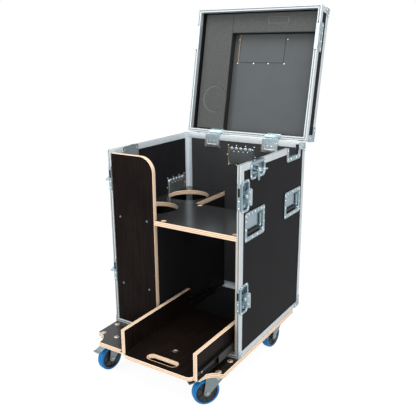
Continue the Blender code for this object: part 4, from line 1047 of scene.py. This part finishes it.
def build_notch():
    """The riveted band around the cable notch and its liner through the wall."""
    near, far, low = notch_cut()
    band, soft, inner_soft, liner, top = 18, 12, 4, 1.6, HEIGHT - 1
    mid = (near + far) / 2
    outer = [(near - band, top)] + arc((near - band + soft, low - band + soft), soft, 180, 270, 6)
    inner = arc((near + inner_soft, low + inner_soft), inner_soft, 270, 180, 4) + [(near, top)]
    outline = outer + mirrored(outer, mid) + mirrored(inner, mid) + inner
    shape = Shape()
    shape.plate([outline], SHEET + 0.8, "zinc_steel", at=on_right(HALF - SHEET))
    side = [(near, low), (near, HEIGHT), (near - liner, HEIGHT), (near - liner, low - liner)]
    shape.plate([side + mirrored(side, mid)], CAP - SHEET, "black_steel", at=on_right(FLANGE_IN), round=0.3)
    heads = [(near - band / 2, HEIGHT - 9), (near - band / 2 + 2, low - band / 2 + 2),
             (near + 22, low - band / 2)]
    for y, z in heads + mirrored(heads, mid):
        rivet(shape, facing((HALF + 0.8, y, z), RIGHT))
    shape.piece("cable_notch_frame", CASE, "aluminium")


# Steel corners

def corner_cap(shape, corner, inward, faces, reach, ball=0):
    """Steel over a corner of three edges: a riveted flange on each face, and a ball where it has one."""
    corner = Vector(corner)
    axes = [Vector(row) for row in Matrix.Diagonal(inward)]
    narrow, over, thick = reach * 0.42, -1.2, 1.4
    outline = filleted([(over, reach / 2), (over, over), (reach, over), (reach, narrow), (narrow, narrow),
                        (narrow, reach), (over, reach), (over, reach / 2)], 5, 3)
    for number in faces:
        across, up = axes[(number + 1) % 3], axes[(number + 2) % 3]
        if across.cross(up).dot(axes[number]) > 0:
            across, up = up, across
        at = frame_at(corner, across, up)
        shape.plate([outline[:-1]], thick, "zinc_steel", at=at)
        rivets(shape, [(reach * 0.78, narrow / 2), (narrow / 2, reach * 0.78)], thick, 3.2, at=at)
    if ball:
        centre = corner + sum(axes, Vector()) * (ball - 4)
        shape.lathe(arc((0, 0), ball, -84, 84, 14), "zinc_steel", Matrix.Translation(centre))


def build_corners():
    case, lid = Shape(), Shape()
    for side in (-1, 1):
        x = side * HALF
        corner_cap(case, (x, DEPTH, 0), (-side, -1, 1), (0, 1), 46, 15)
        corner_cap(case, (x, DEPTH, HEIGHT - 1), (-side, -1, -1), (0, 1), 34)
        corner_cap(case, (x, 0, 0), (-side, 1, 1), (0,), 28)
        corner_cap(lid, (x, 0, LID_TOP), (-side, 1, -1), (0, 1, 2), 34, 8)
        corner_cap(lid, (x, DEPTH, LID_TOP), (-side, -1, -1), (0, 1, 2), 60, 18)
    case.piece("case_corners", CASE, "zinc_steel")
    lid.piece("lid_corners", LID, "zinc_steel")


# Recessed dishes

def dish(shape, outer, tub, taper, rim_radius, tub_radius, lip=1.6):
    """A pressed dish: rings over its front with the raised lip, and back under it, floor to floor."""
    mouth, floor, deep = tub[:2], (tub[0] - taper, tub[1] - taper), tub[2]
    top, bottom = DISH_FACE, DISH_SHEET - deep
    rings = [(floor, -2.5, 0, bottom), (floor, -0.8, 0, bottom + 0.6), (floor, 0, 0, bottom + 2.2),
             (mouth, -0.9, 1, top - 2.4), (mouth, -0.3, 1.4, top + lip - 0.9), (mouth, 0.6, 2.2, top + lip),
             (mouth, 1.8, 3.4, top + lip), (mouth, 3.0, 4.4, top + 0.3), (mouth, 3.8, 5, top),
             (outer, -0.8, None, top), (outer, 0, None, top - 0.5), (outer, 0, None, SEAT),
             (mouth, 1.4, 3, SEAT), (mouth, 0.3, 2, SEAT - 2.0), (floor, 1.2, 1, bottom + 2.2),
             (floor, -1.5, 0, -deep)]
    shape.loft([[(x, y, height) for x, y in
                 rounded_rectangle(size[0] + 2 * grown, size[1] + 2 * grown,
                                   rim_radius if rounder is None else tub_radius + rounder, steps=6)]
                for size, grown, rounder, height in rings], "zinc_steel")


def dish_frame(node, out, up):
    """A dish's own frame: its centre on the case's face, its Y along a direction, its Z outward."""
    centre = CASE.span(node).mid
    if out.x:
        centre.x = out.x * HALF
    else:
        centre.y = DEPTH
    return frame_at(centre, up.cross(out), up)


def build_handles():
    wide, high, deep = HANDLE_TUB
    for name, out in HANDLES.items():
        node = "handle_dish_" + name
        at = dish_frame(node, out, UP)
        shape = Shape()
        dish(shape, HANDLE_FLANGE, HANDLE_TUB, 5, 9, 6)
        # The tub's floor is in the darker zinc, painted shade at the bottom of the recess.
        shape.block((-wide / 2 + 5, -high / 2 + 5, -deep - 0.4), (wide / 2 - 5, high / 2 - 5, -deep - 0.02),
                    "painted_shade_zinc", round=0.1)
        rivets(shape, grid((-46, 0, 46), (44,)) + grid((-19, 19), (-44.5,))
               + grid((-66.5, 66.5), (41, 22, -8, -43)), DISH_FACE, 3.4)
        for x in (-23, 23):
            shape.block((x - 1.4, 40, DISH_FACE), (x + 1.4, 48, DISH_FACE + 0.9), "rivet")
        for x in (-44, 44):
            shape.rod([(x, 27, -12), (x, 27, -3)], 2.2, "zinc_steel")
        handle_back(shape, deep)
        shape.piece("pressed_" + node, CASE, "zinc_steel", at, [node])
        build_bail(name, at)


def handle_back(shape, deep):
    """What a handle shows inside the case: scallops and spot rivets on its tub, rivet tails around it."""
    for x in range(-44, 45, 22):
        shape.lathe([(8, 0), (7, 1.6), (5, 2.2)], "pale_zinc", moved(x, 29, -deep) @ INWARD, 20)
    rivets(shape, grid((-33, -11, 11, 33), (17,)), -deep, 3, turn=INWARD)
    rivets(shape, grid((-62, -22, 22, 62), (42, -43)) + [(-68, 0), (68, 0)], -SKIN - PLY, 3, turn=INWARD)


def build_bail(name, at):
    shape = Shape()
    arm, drop, pivot_up, pivot_in = 55.5, 50, 24, 7
    path = filleted([(-arm, 0, 0), (-arm, -drop, 0), (arm, -drop, 0), (arm, 0, 0)], 12)
    shape.rod(path, 3.4, "zinc_steel", steps=14)
    for side in (-1, 1):
        shape.rod([(side * (arm - 4), 0.5, 0), (side * (arm + 2), 0.5, 0)], 4.2, "zinc_steel", steps=14)
    grip = [(3.6, -46), (5.8, -46), (6.2, -45)]
    for ridge in range(-38, 39, 6):
        grip += [(6.2, ridge - 2), (5.2, ridge - 0.8), (5.2, ridge + 0.8), (6.2, ridge + 2)]
    grip += [(6.2, 45), (5.8, 46), (3.6, 46)]
    shape.lathe(grip, "black_grip", frame_at((0, -drop, 0), UP, BACK), 20)
    shape.piece("bail_" + name, Home("handle_" + name, CASE.matrix), "black_grip",
                at @ moved(0, pivot_up, -pivot_in), ["handle_bail_" + name])


# The wings that stand turned at rest, as in the photograph
TURNED_WINGS = {"left_low": 65, "left_high": 65}


def build_latches():
    long, high, deep = LATCH_TUB
    for name in LATCHES:
        out = LEFT if name.startswith("left") else RIGHT
        at = dish_frame("latch_pan_" + name, out, UP if name.endswith("top") else FRONT)
        shape = Shape()
        dish(shape, LATCH_FLANGE, LATCH_TUB, 4, 16, 8)
        rivets(shape, grid((-50, 50), (-17, 17)), DISH_FACE, 3.2)
        rivets(shape, grid((-22, 22), (-25.5,)), DISH_FACE, 3)
        shape.block((3 - long / 2, 5 - high / 2, -deep - 0.4), (long / 2 - 3, high / 2 + 9, -deep - 0.02),
                    "pale_zinc", round=0.1)
        rivets(shape, grid((-36, 36), (high / 2 - 2,)), -deep - 0.4, 2.8, turn=INWARD)
        shape.piece("pressed_latch_pan_" + name, CASE, "zinc_steel", at, ["latch_pan_" + name])
        build_wing(name, at)


def build_wing(name, at):
    shape = Shape()
    floor, hook = DISH_FACE - LATCH_TUB[2], DISH_SHEET + 2
    shape.lathe([(11, floor), (11, floor + 3), (9.6, floor + 3.8), (9.6, hook - 1.4), (10.6, hook - 0.6),
                 (10.6, hook + 0.2)], "zinc_steel", steps=28)
    half, reach = 8, 40
    tongue = arc((0, half - reach), half, 180, 360, 10) + arc((0, 0), half, 0, 180, 10)
    shape.plate([tongue, circle((0, half - reach), 3, 16)], 2.2, "zinc_steel", at=moved(0, 0, hook))
    base, rise, thick = hook + 1.1, hook + 2.2 + 21, 2.6
    foot = (0, floor + 2)
    side = [(14, floor + 2), (17, base - 3), (29, base + 6), (29, rise)]
    fin = filleted([foot] + side + mirrored(side) + [foot], 5)
    blade = turned(TURNED_WINGS.get(name, 0)) @ frame_at((0, thick / 2, 0), RIGHT, UP)
    shape.plate([fin[:-1]], thick, "pale_zinc", at=blade, round=0.7, steps=2)
    # The dimples' rings are in the lighter rivet zinc, a painted highlight.
    for x, (height, look) in grid((-16, 16), ((0, -1), (thick, 1))):
        dimple = blade @ moved(x, rise - 10, height) @ Matrix.Diagonal((1, 1, look, 1))
        shape.lathe([(2.2, 0), (2.4, 0.7), (3.8, 0.7), (4.2, 0)], "rivet", dimple, 18, loop=True)
    shape.block((-6, -5.5, hook + 2), (6, 5.5, hook + 7), "rivet", round=1.5)
    rivet(shape, moved(0, 0, hook + 2.2), 5, 1.2, "zinc_steel")
    shape.piece("wing_" + name, Home("latch_" + name, CASE.matrix), "zinc_steel", at,
                ["latch_wing_" + name])


def hinge_leaf(home, tag, part, z, up, knuckles):
    """One leaf: its tub, its rim with notched upper corners, and its knuckles."""
    node = "hinge_" + part + "_" + tag
    at = frame_at((home.span(node).mid.x, DEPTH, z), up.cross(BACK), up)
    wide, high, deep = HINGE_TUB
    shape = Shape()
    dish(shape, HINGE_FLANGE, HINGE_TUB, 4, 6, 6)
    rivets(shape, grid((-41, 41), (-18, 4)), DISH_FACE, 3)
    edge, edge_up = wide / 2 - 0.4, HINGE_DOWN + 0.4
    for low, far in knuckles:
        shape.plate([rectangle(low, 21, far, edge_up)], 4.4, "zinc_steel", at=moved(0, 0, SEAT), round=0.3)
        shape.lathe([(1.6, low), (3.3, low), (3.6, low + 0.4), (3.6, far - 0.4), (3.3, far), (1.6, far)],
                    "zinc_steel", frame_at((0, edge_up, 4.8), BACK, UP), 20)
    shape.block((-edge, HINGE_DOWN - 1.6, 0.6 - CAP), (edge, HINGE_DOWN - 0.2, -0.4), "zinc_steel")
    shape.block((-edge, high / 2 - 5, -CAP), (edge, HINGE_DOWN - 0.4, 1.2 - CAP), "pale_zinc")
    shape.block((-edge + 1, 2 - high / 2, -deep - 0.5), (edge - 1, high / 2 - 2, -deep - 0.02), "pale_zinc")
    bow = filleted([(-25, 10, -deep), (-25, -11, -deep), (25, -11, -deep), (25, 10, -deep)], 6)
    shape.rod(bow, 1.5, "rivet", steps=8)
    rivets(shape, [(-9, 2), (9, 2)], -deep, 3, turn=INWARD)
    shape.piece("stay_" + node, home, "zinc_steel", at, [node])


def build_hinges():
    half, outer = 14, 28
    for tag in HINGES:
        hinge_leaf(CASE, tag, "case", HEIGHT - HINGE_DOWN, UP, [(-half, half)])
        hinge_leaf(LID, tag, "lid", LID_BASE + HINGE_DOWN, DOWN,
                   [(-outer, -half - SEAT), (half + SEAT, outer)])


# Lid

def build_lid_boards():
    low, high = lid_shell.low, lid_shell.high
    label = LID.span("lid_label_dish")
    hole = rectangle(label.low.x + 8, label.low.y + 12, label.high.x - 12, label.high.y - 12)
    top = Shape()
    # The outer face is made black below; the inner face keeps the lighter grey copy, painted light.
    skins = top.plate([lid_shell.face(0, 1), hole], PLY, "lid_painted_light_laminate", "birch_thin")
    top.paint([face for face in skins if face.normal.z > 0.95], "black_laminate")
    top.piece("lid_top_board", LID, "lid_board", moved(0, 0, high.z - PLY), ["lid_shell"])
    side = [rectangle(low.y, low.z, high.y, high.z - PLY)]
    end = [rectangle(low.x + PLY, low.z, high.x - PLY, high.z - PLY)]
    hinged = end + hinge_holes(LID, "lid", LID_BASE + HINGE_DOWN, 1)
    for tag, at, loops in (("left", on_right(low.x), side), ("right", on_right(high.x - PLY), side),
                           ("front", on_front(low.y + PLY), end), ("back", on_front(high.y), hinged)):
        board("lid_" + tag + "_wall", LID, at, loops, PLY, slot="lid_board")


def build_lid_rims():
    shape = Shape()
    z = LID_BASE
    for side in (-1, 1):
        channel(shape, (side * FLANGE_IN, 0, z), BACK, (CAP, DEPTH - CAP), RIGHT * side, UP,
                ((side, 1, 0), (-side, 1, 0)))
    rear_rim(shape, LID, "lid", z, UP)
    channel(shape, (0, CAP, z), RIGHT, (-FLANGE_IN, FLANGE_IN), FRONT, UP, ((1, -1, 0), (-1, -1, 0)))
    legs, clear = angle_section(), FLANGE + 0.1
    for side in (-1, 1):
        x, across = side * HALF, LEFT * side
        shape.run(legs, (x, clear, LID_TOP), (x, DEPTH - clear, LID_TOP), across, DOWN, "aluminium")
        for y, inward in ENDS:
            shape.run(legs, (x, y, z + clear), (x, y, LID_TOP - 0.1), across, inward, "aluminium")
    for y, inward in ENDS:
        shape.run(legs, (clear - HALF, y, LID_TOP), (HALF - clear, y, LID_TOP), inward, DOWN, "aluminium")
    shape.piece("lid_edges", LID, "aluminium", STILL, ["lid_edge_frame"])


def build_keepers():
    """The lid's halves of the top latches: keeper plates outside, and plates under and inside the rim."""
    shape = Shape()
    y = CASE.span("latch_pan_right_top").mid.y
    half = [(56, -20), (56, 8), (44, 20), (30, 20), (26, 16)]
    outline = half + mirrored(half)
    for side in (-1, 1):
        out = RIGHT * side
        at = frame_at((side * (HALF - 0.2), y, LID_BASE + 22), DOWN.cross(out), DOWN)
        shape.plate([outline, rounded_rectangle(46, 14, 4, (0, 5))], 1.6, "zinc_steel", at=at, round=0.3)
        rivets(shape, grid((-46, -16, 16, 46), (-12,)), 1.6, 3.2, at=at)
        under = frame_at((side * (HALF - CAP / 2), y, LID_BASE), FRONT, RIGHT)
        shape.plate([rounded_rectangle(98, CAP - 1, 2)], 0.5, "rivet", at=under, round=0.2)
        # Near-black patches near the plate's ends: painted shade.
        for x in (-53, 53):
            shape.plate([rounded_rectangle(7, 5, 2)], 0.4, "painted_shade_recess", at=under @ moved(x, 0, 0),
                        round=0.1)
        inside = frame_at((side * (FLANGE_IN - 0.05), y, LID_BASE + 12), FRONT * side, UP)
        shape.plate([rounded_rectangle(98, 20, 3)], 1.0, "pale_zinc", at=inside, round=0.3)
    shape.piece("lid_keepers", LID, "zinc_steel")


def steps_between(start, end):
    count = max(int((end - start) / FOAM_STEP), 2)
    return [start + (end - start) * step / count for step in range(count + 1)]


def foam_pad(shape, low, high, dent):
    """A pad with soft edges whose face is lowered by a function of its place; its back is flat."""
    soft, sunk, mesh = 2.5, 0.5, shape.bm

    def height(x, y):
        gap = min(x - low.x, high.x - x, y - low.y, high.y - y, soft)
        return low.z + soft - math.sqrt(max(soft ** 2 - (soft - gap) ** 2, 0)) + dent(x, y) + sunk

    rows = [[mesh.verts.new((x, y, height(x, y))) for x in steps_between(low.x, high.x)]
            for y in steps_between(low.y, high.y)]
    border = rows[0] + [row[-1] for row in rows[1:-1]] + rows[-1][::-1] + [row[0] for row in rows[-2:0:-1]]
    ring = [mesh.verts.new((vert.co.x, vert.co.y, high.z)) for vert in border]
    faces = [mesh.faces.new(quad) for near, far in zip(rows, rows[1:])
             for quad in zip(near, near[1:], far[1:], far)] + [mesh.faces.new(ring)]
    sides = [mesh.faces.new(quad)
             for quad in zip(border, border[1:] + border[:1], ring[1:] + ring[:1], ring)]
    bmesh.ops.recalc_face_normals(mesh, faces=faces + sides)
    shape.paint(faces, "grey_foam")
    # The sides take the darker foam, painted shade.
    shape.paint(sides, "foam_side")


def build_foam():
    """Two strips of foam glued under the lid, with the dents that stowed gear has left."""
    span = LID.span("lid_foam")
    low, high = span.low, span.high
    split, face = low.x + FOAM_SPLIT, low.z - FOAM_PROUD
    (ring_x, ring_y, ring_radius), (box_x, box_y, wide, tall) = pressed_places()

    def ring_dent(x, y):
        away = math.hypot(x - ring_x, y - ring_y) - ring_radius
        return 1.6 * math.exp(-(away / 2.6) ** 2) + 0.5 * math.sin(x / 37) * math.sin(y / 53 + 1)

    def box_dent(x, y):
        away = max(abs(x - box_x) - wide, abs(y - box_y) - tall)
        return 1.4 * math.exp(-(away / 2.0) ** 2) + 0.5 * math.sin(x / 41 + 2) * math.sin(y / 29)

    for name, left, right, far, dent, nodes in (
            ("foam_side_strip", low.x - FOAM_TO_WALL, split, high.y, ring_dent, ["lid_foam"]),
            ("foam_front_strip", split + 0.4, high.x, low.y + 82, box_dent, [])):
        shape = Shape()
        foam_pad(shape, Vector((left, low.y, face)), Vector((right, far, high.z)), dent)
        strip = shape.piece(name, LID, "foam", STILL, nodes, 60)


def build_label_dish():
    node = LID.span("lid_label_dish")
    wide, long, rim = node.size.x, node.size.y, 28
    shape = Shape()
    dish(shape, (wide, long), (wide - rim, long - rim, 6), 4, 4, 4, 0)
    rivets(shape, grid((-wide / 2 + 7, -wide / 6, wide / 6, wide / 2 - 7), (-long / 2 + 7, long / 2 - 7)),
           DISH_FACE, 3.2)
    at = moved(node.mid.x, node.mid.y, LID_TOP - SKIN)
    shape.piece("label_dish", LID, "zinc_steel", at, ["lid_label_dish"])
    inside = Shape()
    z = lid_shell.high.z - PLY - 2.2
    left, right = node.low.x + 15.5, node.high.x - 11.5
    near, far = node.low.y + 11.5, node.high.y - 11.5
    # The dish's back is in the lid's lighter grey laminate, painted light, with near-black edges, painted shade.
    inside.plate([rectangle(left, near, right, far)], 2.0, "lid_painted_light_laminate", "painted_shade_recess",
                 moved(0, 0, z), 0.3)
    across = (left - 9, left + (right - left) / 3, left + (right - left) * 2 / 3, right + 4)
    for x, y in [(left - 9, near + 24), (right + 9, near + 24)] + grid(across, (far + 4,)):
        rivet(inside, facing((x, y, z + 2.2), DOWN), 2.8, 1.2)
    inside.piece("label_dish_back", LID, "lid_board")


# Caster board and casters

DECK_THICK = 18
DECK_SCALLOP = 58
WHEEL_RADIUS = 50


def build_deck():
    front = CASE.span("caster_board").low.y
    low = -SEAT - DECK_THICK
    outline = []
    for x, y, start in ((-HALF, front, 90), (HALF, front, 180), (HALF, DEPTH, 270), (-HALF, DEPTH, 0)):
        outline += arc((x, y), DECK_SCALLOP, start, start - 90, 20)
    board("deck", CASE, moved(0, 0, low), [outline], DECK_THICK, "caster_board", "deck_film", "deck_board",
          "birch_thick", 0.8)
    shape = Shape()
    for name in CASTERS:
        pin = JOINTS["swivel_" + name + "_turn"]["pos_m"]
        x, y, thick = (pin[0] - ORIGIN.x) / MM, (pin[1] - ORIGIN.y) / MM, 2.5
        base = moved(x, y, low)
        shape.plate([rounded_rectangle(85, 100, 6)], thick, "zinc_steel", at=base @ moved(0, 0, -thick),
                    round=0.5)
        shape.lathe([(29, -9), (29, -6), (27, -3.5), (24, -thick)], "zinc_steel", base, 36)
        for across, along in grid((-33, 33), (-40, 40)):
            nut = base @ moved(across, along, -thick) @ INWARD
            shape.lathe([(6.5, 0), (6.5, 4.6), (5.8, 5.4)], "rivet", nut, 6)
            shape.lathe([(3, 0), (3, 8), (2.4, 8.6)], "rivet", nut, 14)
            head = moved(x + across, y + along, -SEAT)
            shape.lathe([(10.4, 0.05), (10.4, 0.25), (7, 0.3)], "birch_thick", head, 28)
            rivet(shape, head, 7.6, 2.6, "pale_zinc")
    shape.piece("caster_plates_and_bolts", CASE, "zinc_steel")


def build_casters():
    for name in CASTERS:
        place = Vector(JOINTS["wheel_" + name + "_roll"]["pos_m"])
        axle = caster_home(name, "").matrix.inverted() @ place / MM
        build_fork(name, axle)
        build_wheel(name, axle)
        if name.startswith("front"):
            build_pedal(name, axle)


def build_fork(name, axle):
    home, node = caster_home(name, "swivel_" + name), "caster_fork_" + name
    top, back = home.span(node).high.z, home.span(node).high.y
    low = top - 6.4
    out, thick, foot, crown = 20, 3, 13, low - 4
    shape = Shape()
    shape.lathe([(31, low), (31, low + 3.4), (29.5, top - 1.2), (26, top)], "fork_steel", steps=36)
    outline = [(back, crown), (back, low + 0.2), (-48, low + 0.2), (-48, crown - 8)]
    outline += arc((axle.y, axle.z), foot, 165, 350, 14)
    for x in (-out, out - thick):
        shape.plate([outline], thick, "fork_steel", at=on_right(x), round=0.6)
    shape.plate([rectangle(-out, foot + axle.y, out, back)], 4, "fork_steel", at=moved(0, 0, crown),
                round=0.6)
    ends = [(side * out, axle.y, axle.z) for side in (-1, 1)]
    for side, end in zip((-1, 1), ends):
        shape.lathe([(6, 0), (6, 2.6), (5.4, 3.2)], "zinc_steel", frame_at(end, BACK * side, UP), 6)
    shape.rod(ends, 5.5, "zinc_steel")
    shape.piece("fork_" + name, home, "zinc_steel", STILL, [node])


def build_wheel(name, axle):
    at = frame_at(axle, BACK, UP)
    half, radius = 16, WHEEL_RADIUS
    tyre = [(40.6, half - 2.5), (42, half - 1.6), (45.5, half - 1.4), (48, half - 3), (49.4, half - 6),
            (radius, half - 10)]
    hub = [(6.2, 16.8), (13, 16.8), (15.5, 16), (16.5, 9.2), (20, 8.8), (34, 8.8), (37, 11), (38.4, 14),
           (40.8, 14.2)]
    shape = Shape()
    for profile, finish, steps in ((tyre, "blue_tyre", 72), (hub, "black_hub", 60)):
        mirrored = [(across, -height) for across, height in reversed(profile)]
        shape.lathe(profile + mirrored, finish, at, steps, loop=True)
    for side, number in grid((-1, 1), range(6)):
        rib = turned(60 * number + 30) @ moved(16, -1.2, side * 10 - 1.6)
        shape.block((0, 0, 0), (19, 2.4, 3.2), "black_hub", at @ rib, 0.4)
    shape.piece("wheel_" + name + "_turned", caster_home(name, "wheel_" + name), "blue_tyre", STILL,
                ["caster_wheel_" + name])


def build_pedal(name, axle):
    y, z = -40, axle.z + WHEEL_RADIUS + 6.6
    flat, long, tread, drop, up, thick = 26, 68, 12, 12, 4, 3
    upper = filleted([(4, up), (-flat, up), (tread - long, up - drop), (-long, up - drop)], 7)
    lower = [(point.x - 0.6, point.y - thick) for point in reversed(upper)]
    outline = [(y + along, z + above) for along, above in upper + lower]
    shape = Shape()
    shape.plate([outline], 30, "zinc_steel", at=on_right(-15), round=0.6)
    for number in range(3):
        ridge, tread_z = y - long + 3 + number * 3.4, z + up - drop
        shape.block((-12, ridge, tread_z), (12, ridge + 1.4, tread_z + 1), "zinc_steel")
    shape.rod([(-16.5, y, z), (16.5, y, z)], 3.8, "rivet")
    shape.piece("pedal_plate_" + name, caster_home(name, "pedal_" + name), "zinc_steel", STILL,
                ["brake_pedal_" + name])


make_finishes()
place_camera()
lay_floor()
light_stage()
build_side_walls()
build_rear_and_floor()
build_front_boards()
build_shelf()
build_tray()
build_slides()
build_posts()
build_rims()
build_notch()
build_corners()
build_handles()
build_latches()
build_hinges()
build_lid_boards()
build_lid_rims()
build_keepers()
build_foam()
build_label_dish()
build_deck()
build_casters()

bpy.context.scene.view_settings.view_transform = "Standard"
